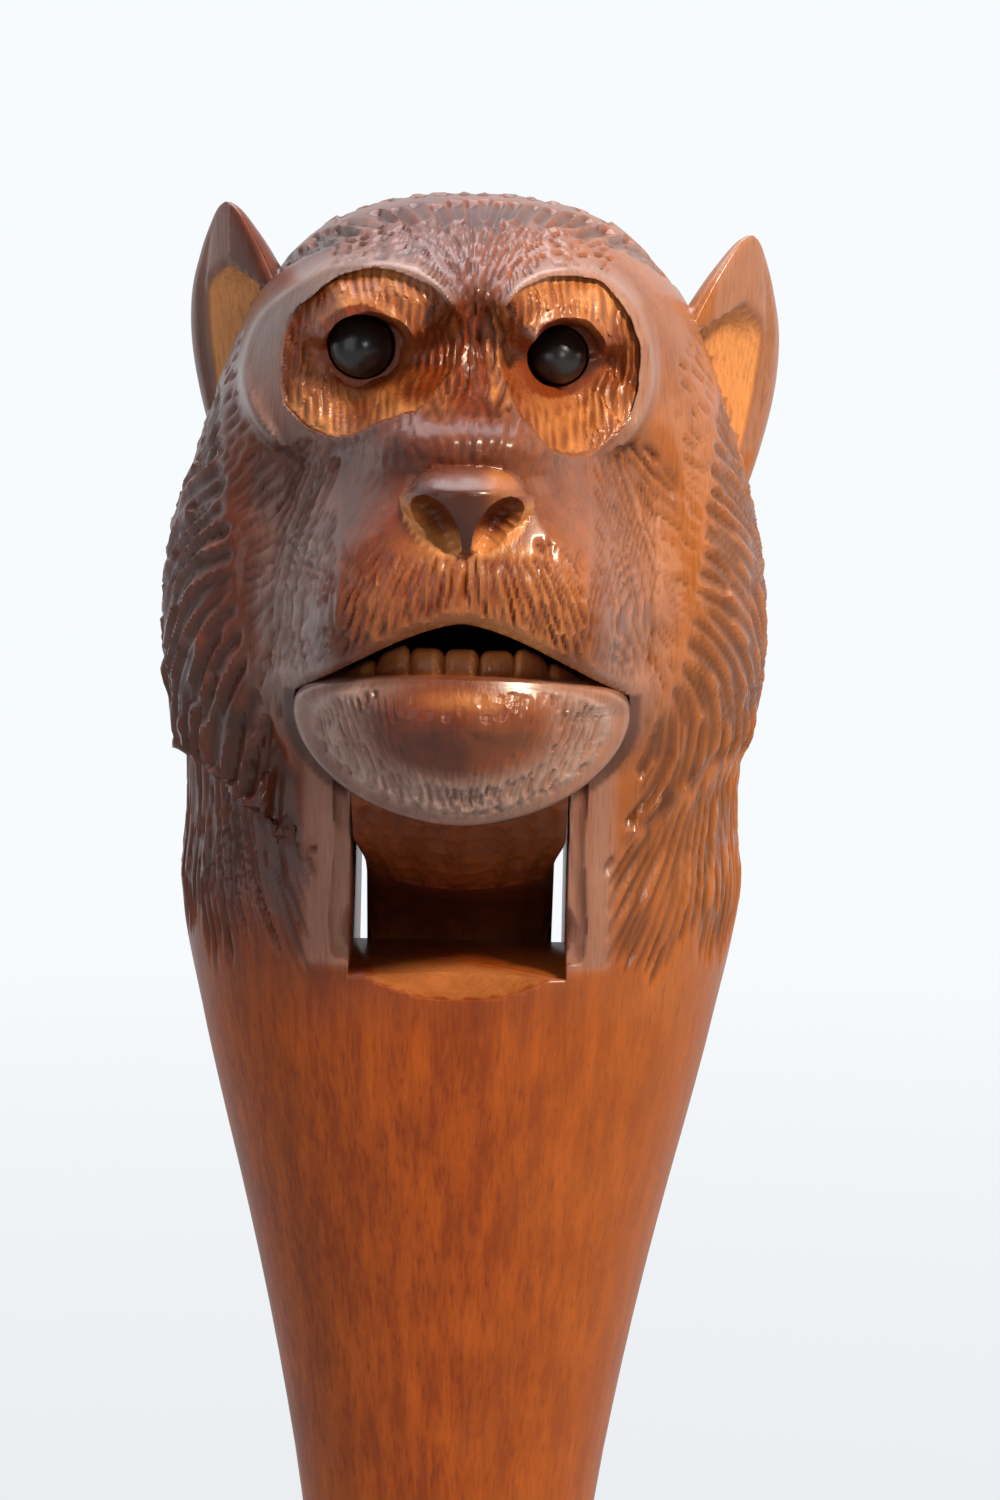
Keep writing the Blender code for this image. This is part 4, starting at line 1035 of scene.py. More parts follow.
def ear_form(side):
    """A thick pointed leaf whose front is scooped out under a smooth tip and within an outer rim."""
    base, run, across, behind = ear_frame(side)
    widest = EAR_PLACE[side][2]
    arc = np.linspace(-math.pi / 2, math.pi / 2, 42)
    sine, cosine = np.sin(arc), np.cos(arc)
    grid = []
    for share in 1 - np.linspace(1, 0, 50) ** 1.35:
        wide = float(ear_width(share))
        half_width, cup = wide * widest, wide * EAR_CUP
        back = [(half_width * a, cup * b) for a, b in zip(sine, cosine)]
        bulge = min(1, 0.2 + wide) * cosine**0.5
        ribs = scallops(sine * half_width + 1.5 * share, 1.5, 41 + SIDES[side])
        fold = np.exp(-(((sine - 0.68) / 0.07) ** 2)) * smooth_step(share, 0.95, 0.7)
        hollow = (5.4 * wide + 0.3 * ribs) * ear_scoop(sine, share) + 0.45 * fold * wide
        front = [(half_width * a * 0.99, -b + h) for a, b, h in zip(sine, bulge, hollow)][::-1]
        grid.append([base + run * share + across * u + behind * v for u, v in back + front])
    return grid_object(f"ear_{side}", grid)


def about_pin(radius, angles):
    """Places (y, z) at this distance from the hinge pin; at 0 behind it, at a quarter turn above."""
    return [(PIVOT_BACK + radius * math.cos(a), PIVOT_HEIGHT + radius * math.sin(a)) for a in angles]


def mouth_relief():
    """The space that the jaw turns in, arched under the upper lip."""
    radius, half_width = JAW_BACK_RADIUS - JAW_CLEARANCE, JAW_HALF_WIDTH + JAW_CLEARANCE
    lowest = math.radians(30)
    far = radius + OVERRUN
    grid = []
    for x in np.linspace(-half_width, half_width, 97):
        drop = 3.2 * float(smooth_step(abs(x), JAW_HALF_WIDTH, 14.65))
        top = float(lip_line(x)) - drop
        highest = -math.asin((top - PIVOT_HEIGHT) / radius)
        arc = about_pin(-radius, np.linspace(highest, lowest, 25))
        grid.append([(x, y, z) for y, z in [(-far, top), *arc, *about_pin(-far, [lowest])]])
    return grid_object("mouth_relief", grid)


def band_relief():
    """The plain band each side of the slot, its outer side eased into the neck, a ledge at its foot."""
    front = -OVERRUN - MUZZLE_REACH
    reach = SLOT_HALF_WIDTH + BAND_WIDTH
    grid = []
    for x in np.linspace(-reach, reach, 101):
        beside = abs(x) - SLOT_HALF_WIDTH
        ease = 3.6 * float(smooth_step(beside, 0.6, BAND_WIDTH)) ** 1.1
        wobble = 0.12 * float(ripple(np.array(x), 3.0, 9))
        ledge = SLOT_FLOOR + 1.3 + wobble + 0.06 * max(beside, 0) ** 2
        roof = jaw_underside(x) - 0.6 if beside > 0 else LIP_CORNER
        heights = np.linspace(roof, ledge + 0.7, 26)
        shallow = ease + 0.1 * ripple(heights + 3 * x, 5.0, 8)
        face = [(-BAND_DEPTH - s, z) for s, z in zip(shallow, heights)]
        foot = -BAND_FOOT_DEPTH - ease
        outline = [(front, roof), *face, (foot, ledge + 0.2), (foot - 0.7, ledge), (front, ledge)]
        grid.append([(x, y, z) for y, z in outline])
    return grid_object("band_relief", grid)


def arm_slot():
    """The slot that the arm lies in, open in front, behind and between the handles."""
    roof = KNUCKLE_RADIUS + KNUCKLE_CLEARANCE
    front, face, rear = -MUZZLE_REACH - OVERRUN, -HANDLE_GAP / 2, 27.5 + OVERRUN
    outline = [
        (front, SLOT_FLOOR),
        (face, SLOT_FLOOR),
        (face, REAR_SHOULDER - OVERRUN),
        (rear, REAR_SHOULDER - OVERRUN),
        (rear, PIVOT_HEIGHT - 9),
        (PIVOT_BACK + roof + 2, PIVOT_HEIGHT),
        *about_pin(roof, np.linspace(math.radians(15), math.pi / 2, 24)),
        (-19.5, LIP_CORNER),
        (front, LIP_CORNER),
    ]
    return prism("arm_slot", outline, -SLOT_HALF_WIDTH, SLOT_HALF_WIDTH)


def cross_bore(name):
    """A bore for the pin, right across the head."""
    far = 2 * OVERRUN
    return rod(name, (-far, PIVOT_BACK, PIVOT_HEIGHT), (far, PIVOT_BACK, PIVOT_HEIGHT), PIN_BORE_RADIUS, 64)


def build_head(settings):
    rings, columns = HEAD_GRID
    angles = meridians(columns)
    grid = np.array([head_ring(station, angles) for station in head_stations(rings)])
    flat, flat_normals = grid.reshape(-1, 3), grid_normals(grid).reshape(-1, 3)
    marks = GougeMarks(flat, flat_normals, settings.seed)
    HeadMarks(marks, settings).lay_all()
    x, y, z = flat.T
    hairy = smooth_step(z, 129, 134) * np.maximum(smooth_step(np.abs(x), 13, 20), smooth_step(y, -8, 0))
    lift = HAIR_LIFT * hairy * (np.abs(x) > 11.9)
    carved = flat + flat_normals * (lift - marks.depth)[:, None]
    head = grid_object("carved_head", carved.reshape(grid.shape))
    carve(head, "UNION", [ear_form(side) for side in SIDES] + [nose_form()])
    tools = [arm_slot(), band_relief(), mouth_relief(), cross_bore("pin_bore")]
    tools += [ball("nut_seat", *NUT_SEAT), ball("worn_ledge", *WORN_LEDGE)]
    face_front = FaceFront(grid)
    for side in SIDES:
        eye_x, eye_y, eye_z = EYE_PLACE[side]
        seat = EYE_RADIUS[side] + BEAD_CLEARANCE
        start = (eye_x, -50, eye_z)
        tools += [nostril_tool(side), socket_tool(side, face_front)]
        tools.append(rod(f"seat_{side}", start, (eye_x, eye_y + seat, eye_z), seat, 64))
        tools.append(rod(f"wire_{side}", start, (eye_x, eye_y + 11, eye_z), WIRE_BORE_RADIUS, 16))
    for tool in tools:
        carve(head, "DIFFERENCE", [tool])
    HeadPaint(head, carved, marks).lay_all()
    return head


class HeadPaint:
    """The point values that the stain of the head reads.

    They are the gouge marks, with painted shade added in the gap beside the jaw, the golden hollows and how
    much painted light each gets, the painted shade of inner faces, the plain band beside the slot, and
    a greyish painted sheen.
    """

    def __init__(self, head, carved, marks):
        self.head = head
        self.points = mesh_points(head)
        x, y, z = self.x, self.y, self.z = self.points.T
        self.wide = np.abs(x)
        index, self.on_skin = skin_nearest(self.points, carved)
        self.mark = marks.mark[index] * self.on_skin
        self.hollow = np.zeros(len(x))
        self.bright = np.zeros(len(x))
        self.cut = self.on_skin < 0.5
        # Painted shade on the faces cut inside the throat and the slot, above the slot's floor.
        throat = (1 - self.on_skin) * (z < 162) * (y > -33) * smooth_step(y, -18.0, -15.5)
        self.painted_shade = throat * smooth_step(z, 127.5, 129.5)

    def set_where(self, here, hollow, bright, mark):
        self.hollow = np.where(here, hollow, self.hollow)
        self.bright = np.where(here, bright, self.bright)
        self.mark = np.where(here, mark, self.mark)

    def raise_to(self, hollow, bright):
        self.hollow = np.maximum(self.hollow, hollow)
        self.bright = np.maximum(self.bright, bright)

    def socket(self, side):
        """Painted light: gold over and under the eye, in patches; dark chisel cuts; painted shade in the
        seat.
        """
        x, y, z = self.x, self.y, self.z
        radius, out, up = socket_radius(x, z, side)
        here = (radius < 1.12) & (y < -14) & self.cut
        cuts = socket_cuts(x, z, side)
        over_and_under = np.maximum(smooth_step(up, 0.3, 0.7), smooth_step(up, -0.2, -0.6))
        lit = over_and_under * smooth_step(out, -0.95, -0.5)
        patches = 0.55 + 0.7 * ripple(x + 0.4 * z, 5.0, 71) * ripple(z - 0.5 * x, 6.0, 73)
        # bright is painted light, strongest on the lit walls over and under the eye.
        bright = (1.05 - 0.8 * cuts) * (0.1 + 0.9 * lit * patches) * smooth_step(cuts, 0.0, 0.1)
        self.set_where(here, 1.0, bright, 0.6 * smooth_step(cuts, 0.6, 1.0))
        eye_x, _, eye_z = EYE_PLACE[side]
        seat = np.hypot(x - eye_x, z - eye_z) < EYE_RADIUS[side] + 0.5
        self.painted_shade = np.where(seat & here & (y > -19.4), 1.0, self.painted_shade)

    def ear(self, side):
        base, run, across, behind = ear_frame(side)
        share = (self.z - base[2]) / run[2]
        here = (share > 0) & (share < 1) & self.cut & (SIDES[side] * self.x > 15)
        from_middle = self.points - base - share[:, None] * run
        wide = np.maximum(ear_width(share), 0.05)
        sine = np.clip(from_middle @ across / (wide * EAR_PLACE[side][2]), -1, 1)
        in_front = from_middle @ behind < 4.2 * wide * np.sqrt(1 - sine**2)
        # The scooped hollow is painted golden and bright: painted light.
        scooped = np.where(here & in_front, smooth_step(ear_scoop(sine, share), 0.02, 0.12), 0)
        self.raise_to(scooped, scooped)

    def nostril(self, side):
        share, turn = nostril_share(SIDES[side] * (self.x - NOSE_MIDDLE), self.z)
        here = (share < 1.03) & (self.y < -32) & (self.y > -38.0)
        # Painted light on the nostril's lower outer wall, and painted shade darkening its upper inner part.
        lit = smooth_step(share, 0.15, 0.75) * smooth_step(np.abs(turn + 60), 110, 60)
        self.set_where(here, 0.9, 0.75 * lit, 0.7 * (1 - lit))

    def nose_pad(self):
        """A top and front darkened by painted shade, and painted light that makes them paler towards the
        right.
        """
        x, y, z = self.x, self.y, self.z
        beside = np.abs(x - NOSE_MIDDLE)
        front = (beside < 5.6) & (y < -37.2) & (z > 165) & (z < 172.6) & (self.hollow < 0.5)
        top = (beside < 5.0) & (y < -34.5) & (z > 170.5) & (z < 173.0) & self.cut
        pale = smooth_step(x, 0.4, 2.6)
        mark = 0.55 + 0.45 * smooth_step(z, 171.5, 170.6) - 0.4 * smooth_step(x, 0.8, 3.0)
        self.set_where(front | top, 0.6 * pale, 0.35 * pale, mark)

    def between_eyes(self):
        from_middle = self.x - FACE_MIDDLE
        here = np.exp(-((from_middle / 3.8) ** 4)) * smooth_step(self.z, 175.5, 177.5)
        here = here * smooth_step(self.z, 186.5, 184.5) * (self.y < -18) * self.on_skin
        # Painted light on the golden walls between the eyes, less on the middle ridge and on gouge marks.
        bright = here * smooth_step(np.abs(from_middle), 0.6, 2.4) * 0.8 * (1 - self.mark)
        self.raise_to(0.95 * here, bright)

    def upper_lip(self):
        """A golden lip, with painted light that grows brighter towards the right."""
        lip = smooth_step(np.hypot(self.x / 11.5, (self.z - 161.5) / 7.0), 1.2, 0.65)
        lip = lip * smooth_step(self.z, 169, 166) * (self.y < -24) * self.on_skin
        bright = lip * (0.25 + 0.45 * smooth_step(self.x, -6, 9)) * (1 - self.mark)
        self.raise_to(0.7 * lip, bright)
        self.mark = self.mark * (1 - 0.45 * lip)

    def gap_beside_jaw(self):
        """Painted shade: a dark line along the edge of the jaw, in the gap beside it."""
        out, down = self.wide / JAW_HALF_WIDTH, (150.0 - self.z) / JAW_DROP
        beside = np.where(self.z < 150.0, np.hypot(out, down), out)
        gap = smooth_step(beside, 1.1, 1.05) * (beside > 0.9) * (self.wide > SLOT_HALF_WIDTH + 0.2)
        gap = gap * (self.z > 141) * (self.z < 152.6) * (self.y < -17)
        self.mark = np.maximum(self.mark, gap)

    def slot_floor(self):
        # Painted light: the slot's floor is painted golden and bright.
        at_floor = (self.z < SLOT_FLOOR + 0.5) & (self.z > 122)
        floor = self.cut & at_floor & (self.wide < SLOT_HALF_WIDTH + 0.2) & (self.y < -3)
        self.set_where(floor, 0.6, 0.45, 0)

    def band(self):
        """How much a place belongs to the plain band; painted shade darkens the band on its right."""
        plain = smooth_step(self.wide, 14, 12.5) * smooth_step(self.y, -20.0, -19.2) * (self.z < 150)
        plain = plain * smooth_step(self.z, 127.6, 128.6) * (1 - self.painted_shade)
        self.mark = np.maximum(self.mark, 0.5 * plain * smooth_step(self.x, 0, 9))
        return plain

    def over_nose(self):
        """Painted shade on the hair that overhangs the nose."""
        here = smooth_step(self.wide, 9, 5) * smooth_step(self.z, 172.4, 173.4)
        here = here * smooth_step(self.z, 178.5, 176.5)
        self.painted_shade = np.maximum(self.painted_shade, 0.4 * here * self.on_skin * (self.y < -24))

    def painted_sheen(self, plain):
        """Greyish painted sheen: the lids, the muzzle's sides (less on the right), the ears' backs and the
        band.
        """
        x, y, z, wide = self.x, self.y, self.z, self.wide
        lids = brow_band(x, z) * (y < -8)
        muzzle = smooth_step(wide, 9.5, 13) * smooth_step(wide, 20, 15) * smooth_step(z, 144, 155)
        muzzle = muzzle * smooth_step(z, 173, 168) * smooth_step(y, -12, -17) * np.where(x > 0, 0.55, 1.0)
        painted_sheen = np.maximum(0.35 * lids, 0.4 * muzzle) + 0.05 * smooth_step(z, 168, 178)
        ears = (np.hypot(x, y) > 21.5) & (z > 171) & self.cut
        painted_sheen = np.maximum(painted_sheen * self.on_skin, np.where(ears, 0.3, 0))
        return np.maximum(painted_sheen * (1 - self.mark) * (1 - self.hollow), 0.55 * plain)

    def lay_all(self):
        for side in SIDES:
            self.socket(side)
            self.ear(side)
            self.nostril(side)
        self.nose_pad()
        self.between_eyes()
        self.upper_lip()
        self.gap_beside_jaw()
        self.slot_floor()
        plain = self.band()
        self.over_nose()
        values = {
            "mark": self.mark,
            "hollow": self.hollow,
            "bright": self.bright,
            "painted_shade": self.painted_shade,
            "plain": plain,
            "painted_sheen": self.painted_sheen(plain),
        }
        for name, value in values.items():
            paint(self.head, name, value)


# The jaw and the rear handle


def jaw_outline(angles):
    upper = np.sin(angles) > 0
    high_sine, high_cosine = superellipse(angles, JAW_HIGH_SQUARENESS)
    low_sine, low_cosine = superellipse(angles, JAW_LOW_SQUARENESS)
    x = JAW_HALF_WIDTH * np.where(upper, high_cosine, low_cosine)
    return x, JAW_HEIGHT + np.where(upper, JAW_RISE * high_sine, JAW_DROP * low_sine)


def jaw_underside(x):
    """The height of the jaw's lower edge at a place across it."""
    share = min(abs(x) / JAW_HALF_WIDTH, 1)
    return JAW_HEIGHT - JAW_DROP * (1 - share**JAW_LOW_SQUARENESS) ** (1 / JAW_LOW_SQUARENESS)


def bowl_shares():
    """How far out each ring of the jaw's front lies, as a share of its outline."""
    dome, rim = ((68, 16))
    return np.concatenate([np.linspace(0.03, 0.78, dome), np.linspace(0.79, 1.0, rim)])


def bowl_grid():
    """Rings from the middle of the jaw's front out over its rim and round to its back."""
    angles = angles_round(360)
    x, z = jaw_outline(angles)
    sine = np.sin(angles)
    setback = np.where(sine > 0, 0.9, 4.2)
    curve = ((sine**2 + 0.2) ** 0.55 - 0.2**0.55) / (1.2**0.55 - 0.2**0.55)
    edge = JAW_REACH - JAW_ROUNDING + (JAW_ROUNDING - setback) * curve
    bow = 2.3 - 0.9 * smooth_step(sine, 0.1, -0.9)
    ragged = 0.022 * ripple(np.degrees(angles), 11, 15)
    grid = []
    for share in bowl_shares():
        height = JAW_HEIGHT + (z - JAW_HEIGHT) * share
        inner = (1 - smooth_step(share + ragged, 0.83, 0.88)) * smooth_step(height, 154.9, 151.6)
        dome = edge + (JAW_REACH - edge) * (1 - share**bow)
        bevel = 0.5 * smooth_step(share, 0.955, 1.0) ** 2
        grid.append(np.stack([x * share, -(dome + 0.3 * inner - bevel), height], axis=1))
    for share in BOWL_BACK:
        height = JAW_HEIGHT + (z - JAW_HEIGHT) * share
        back = np.sqrt(JAW_BACK_RADIUS**2 - (height - PIVOT_HEIGHT) ** 2) - PIVOT_BACK
        grid.append(np.stack([x * share, -back, height], axis=1))
    return np.array(grid)


def teeth_row():
    """Seven teeth with rounded corners, standing in an arc behind the lip."""
    uneven = np.random.default_rng(8).uniform(-1, 1, (TEETH + 1, 3))
    columns = TEETH * COLUMNS_PER_TOOTH
    grid = []
    for column, share in enumerate(np.linspace(-1, 1, columns + 1)):
        x = TEETH_HALF_WIDTH * share
        tooth, within = divmod(column, COLUMNS_PER_TOOTH)
        middle = 1 - abs(2 * within / COLUMNS_PER_TOOTH - 1) ** 5 if column < columns else 0.0
        wobble = uneven[min(tooth, TEETH - 1)]
        top = min(TEETH_TOP + 0.2 * wobble[0], float(lip_line(x)) - 1.1) - 0.65 * (1 - middle)
        front = JAW_REACH - 2.8 - 5.28 * share**2 - 0.62 * (1 - middle) + 0.12 * wobble[1]
        back = JAW_REACH - 5.4 - 5.28 * share**2
        outline = [
            (-front, TEETH_FOOT),
            (-back, TEETH_FOOT),
            (-back - 0.4, top - 0.3),
            (-back - 0.7, top),
            (-front + 1.0, top + 0.05),
            (-front + 0.55, top - 0.15),
            (-front + 0.25, top - 0.6),
            (-front + 0.1, top - 1.4),
        ]
        grid.append([(x, y, z) for y, z in outline])
    return grid_object("teeth", grid)


ARM_REACH = 0.83
# Forward of the pin as a share of the jaw's reach, and up from it as a share of the jaw's radius.
ARM_UNDER = [
    (0.00, -0.93), (0.03, -0.78), (0.11, -0.66), (0.25, -0.56),
    (0.41, -0.475), (0.69, -0.26), (ARM_REACH, -0.10),
]
ARM_TOP = [(ARM_REACH, 0.27), (0.55, 0.27), (0.33, 0.32)]


def arm_form():
    """The flat-sided arm, whose front bellies out under the chin."""
    forward = JAW_REACH + PIVOT_BACK
    under = smooth_curve(ARM_UNDER, 14)
    flare = 1 + 0.11 * smooth_step(under[:, 0], 0.36, 0.58)
    knuckle = np.linspace(math.radians(125), 0, 40)
    grid = []
    for across in np.linspace(-1, 1, 61):
        edge = 0.8 * max(abs(across) - 0.9, 0) / 0.1
        drop = 1.6 - 3.0 * across**2
        chip = 0.9 * float(scallops(np.array(across), 0.34, 6)) * smooth_step(abs(across), 1.0, 0.85)
        outline = []
        for ahead, up in under:
            belly = math.sin(math.pi * min(ahead / ARM_REACH, 1)) ** 0.8
            chipped = scallops(np.array(ahead + 0.05 * across**2), 0.075, 7)
            chipped = chip * float(chipped) * (ahead > 0.3)
            height = PIVOT_HEIGHT + up * JAW_BACK_RADIUS - drop * belly * 0.55 + 0.4 * edge + chipped
            outline.append((PIVOT_BACK - ahead * forward + 0.5 * edge, height))
        for ahead, up in ARM_TOP:
            outline.append((PIVOT_BACK - ahead * forward, PIVOT_HEIGHT + up * JAW_BACK_RADIUS))
        outline += about_pin(KNUCKLE_RADIUS - 0.35 * edge, knuckle)
        outline.append((PIVOT_BACK + KNUCKLE_RADIUS, PIVOT_HEIGHT - 8))
        outline.append((2 * HANDLE_GAP, REAR_SHOULDER + SHOULDER_RISE))
        widths = [*flare, *[flare[-1] if y < -14 else 1.0 for y, _ in outline[len(flare) :]]]
        grid.append([(LEVER_HALF_WIDTH * across * wide, y, z) for (y, z), wide in zip(outline, widths)])
    return grid_object("arm", grid)


def rear_handle_grid():
    """Rings up the rear handle, each with its points evenly along it."""
    dense = smooth_curve(REAR_HANDLE, 8)
    angles = np.linspace(0, 2 * math.pi, 1441)
    grid = []
    for height, half_width, back, square in evenly_along(dense, np.ones(len(dense)), 110):
        sine, cosine = superellipse(angles, square)
        y = -soft_limit(-back * cosine, -HANDLE_GAP / 2, INNER_ROUNDING)
        ring = np.stack([half_width * sine, y, np.full(len(angles), height)], axis=1)
        grid.append(evenly_along(ring, np.ones(len(ring)), 161)[:-1])
    return np.array(grid)


# Room across and along, length, width and cut of each kind of mark on the jaw.
JAW_STROKES = {
    "sides": Stroke(0.66, 3.4, 5.4, 0.4, 2.0, steep=0.8, rise=0.35, fall=0.65),
    "soft": Stroke(0.6, 3.4, 5.4, 0.4, 0.8, steep=0.8, rise=0.35, fall=0.65),
    "fringe": Stroke(0.9, 3.0, 3.2, 0.5, 1.6, steep=0.8, rise=0.5, fall=0.9),
    "top": Stroke(1.2, 3.0, 2.4, 0.5, 0.5),
}


def lay_jaw_marks(marks, share, depth):
    """Short upright marks over the jaw's dome, deep round a smoother middle, and a fringe below."""
    x, _, z = marks.points.T
    dome = (share > 0.1) & (share < 0.86) & (z < 154.2)
    from_middle = np.hypot(x / 6.6, (z - 150.8) / 3.6)
    down = np.stack([-0.03 * x, np.zeros(len(x)), -np.ones(len(x))], axis=1)
    marks.lay(dome & (from_middle > 1.25), down, JAW_STROKES["sides"], depth, x)
    marks.lay(dome & (from_middle > 0.8), down, JAW_STROKES["soft"], depth, x)
    marks.lay((share > 0.6) & (share < 0.9) & (z < 150), down, JAW_STROKES["fringe"], depth)
    marks.lay(dome & (z > 151.5) & (np.abs(x) < 9), down, JAW_STROKES["top"], depth)


def paint_lever(lever, carved, marks, share):
    """The point values that the stain of the lever reads, by the same names as the head's."""
    points = mesh_points(lever)
    x, y, z = points.T
    index, on_skin = skin_nearest(points, carved)
    mark, share = marks.mark[index], share[index]
    dark_middle = np.exp(-(((x + 0.5) / 6.2) ** 2) - ((z - 149.6) / 2.6) ** 2) * (y < -26)
    # Painted shade on the jaw's side wall, which turns into the gap beside the head.
    wall = smooth_step(share, 0.985, 1.0) * smooth_step(z, 155, 152)
    # pale is a painted sheen on the jaw's sides, away from its middle.
    pale = smooth_step(np.hypot(x / 8.5, (z - 151.0) / 4.6), 0.7, 1.3) * on_skin
    rim = smooth_step(share, 0.8, 0.93)
    teeth = (z > 154.5) * (y < -24) * (np.abs(x) < TEETH_HALF_WIDTH + 0.4) * (1 - on_skin)
    # lip_glow is painted light: an orange glow along the top of the jaw's front.
    lip_glow = np.exp(-(((x - 1.0) / 6.0) ** 2) - ((z - 153.4) / 1.0) ** 2) * on_skin * (y < -28)
    # banded is painted light on the teeth, in upright bands and brightest at their tops.
    banded = 0.15 + 0.4 * smooth_step(ripple(x, 1.7, 5), 0.1, 0.7) + 0.3 * smooth_step(z, 155.6, 157.0)
    values = {
        "mark": np.maximum(np.maximum(0.4 * mark, 0.8 * dark_middle), wall) * on_skin,
        "painted_sheen": pale * smooth_step(y, -20, -27) * (1 - 0.6 * mark) * (1 - 0.6 * rim) * (1 - wall),
        "hollow": np.maximum(0.8 * teeth, 0.85 * lip_glow),
        "bright": np.maximum(teeth * banded, 0.35 * lip_glow),
        "plain": (1 - on_skin) * smooth_step(z, 150, 146),
        # Painted shade on the faces cut under the jaw and along the arm.
        "painted_shade": smooth_step(z, 118, 126) * (1 - on_skin) * smooth_step(y, -33, -24) * (1 - teeth),
    }
    for name, value in values.items():
        paint(lever, name, value)


def build_lever(settings):
    grid = bowl_grid()
    columns = grid.shape[1]
    flat, flat_normals = grid.reshape(-1, 3), grid_normals(grid).reshape(-1, 3)
    if flat_normals[columns * 5 : columns * 6, 1].mean() > 0:
        flat_normals = -flat_normals
    marks = GougeMarks(flat, flat_normals, settings.seed + 1)
    # The rings of the back count as 2 and more, so that no mark lies on them.
    share = np.repeat([*bowl_shares(), *(2 + np.array(BOWL_BACK))], columns)
    lay_jaw_marks(marks, share, settings.fine_depth)
    carved = flat - flat_normals * marks.depth[:, None]
    lever = grid_object("jaw_and_rear_handle", rear_handle_grid())
    bowl = grid_object("bowl", carved.reshape(grid.shape))
    carve(lever, "UNION", [arm_form()])
    carve(lever, "UNION", [bowl])
    carve(lever, "DIFFERENCE", [ball("basin", *BASIN)])
    carve(lever, "UNION", [teeth_row()])
    carve(lever, "DIFFERENCE", [cross_bore("lever_bore")])
    paint_lever(lever, carved, marks, share)
    return lever


# Finishes


class Signal:
    """An output of a shader tree; arithmetic on it adds Math nodes."""

    def __init__(self, finish, socket):
        self.finish, self.socket = finish, socket

    def math(self, operation, *values, clamp=False):
        settings = {"operation": operation, "use_clamp": clamp}
        return self.finish.node("ShaderNodeMath", settings, dict(enumerate(values)))

    def __add__(self, other):
        return self.math("ADD", self, other)

    def __sub__(self, other):
        return self.math("SUBTRACT", self, other)

    def __rsub__(self, other):
        return self.math("SUBTRACT", other, self)

    def __mul__(self, other):
        return self.math("MULTIPLY", self, other)

    __radd__ = __add__
    __rmul__ = __mul__

    def clamped(self):
        return self.math("ADD", self, 0.0, clamp=True)

    def ramp(self, low, high):
        """0 under low and 1 over high, in a straight line between."""
        return self.math("MULTIPLY", self - low, 1 / (high - low), clamp=True)


class Finish:
    """The nodes of a material or a world, with one method that adds any node."""

    def __init__(self, owner, shader):
        self.owner = owner
        owner.use_nodes = True
        self.tree = owner.node_tree
        self.shader = self.tree.nodes[shader]

    def link(self, target, value):
        if isinstance(value, Signal):
            self.tree.links.new(value.socket, target)
        else:
            target.default_value = value

    def node(self, kind, settings=None, sockets=None, output=0):
        added = self.tree.nodes.new(kind)
        for key, value in (settings or {}).items():
            setattr(added, key, value)
        for key, value in (sockets or {}).items():
            self.link(added.inputs[key], value)
        return Signal(self, added.outputs[output])

    def place(self, stretch=(1, 1, 1)):
        """The object's own coordinates in millimetres, each axis stretched."""
        origin = self.node("ShaderNodeTexCoord", output="Object")
        scale = tuple(value / MM for value in stretch)
        return self.node("ShaderNodeVectorMath", {"operation": "MULTIPLY"}, {0: origin, 1: scale})

    def noise(self, place, scale, detail=3.0, roughness=0.55):
        sockets = {"Vector": place, "Scale": scale, "Detail": detail, "Roughness": roughness}
        return self.node("ShaderNodeTexNoise", None, sockets)

    def point_value(self, name):
        return self.node("ShaderNodeAttribute", {"attribute_name": name}, output="Fac")

    def axis(self, place, output):
        return self.node("ShaderNodeSeparateXYZ", None, {0: place}, output)

    def ray(self, kind):
        return self.node("ShaderNodeLightPath", output=f"Is {kind} Ray")

    def blend(self, factor, first, second):
        """The first colour where the factor is 0 and the second where it is 1; a setting or a signal."""
        colors = (color if isinstance(color, Signal) else opaque(color) for color in (first, second))
        sockets = dict(zip((0, 6, 7), (factor, *colors)))
        return self.node("ShaderNodeMix", {"data_type": "RGBA"}, sockets, output=2)

    def bump(self, height, distance, strength):
        sockets = {"Height": height, "Distance": distance, "Strength": strength}
        return self.node("ShaderNodeBump", None, sockets)

    def apply(self, **sockets):
        for name, value in sockets.items():
            name = name.replace("_", " ").title().replace("Ior", "IOR")
            self.link(self.shader.inputs[name], value)


def opaque(color):
    return (*color, 1.0)


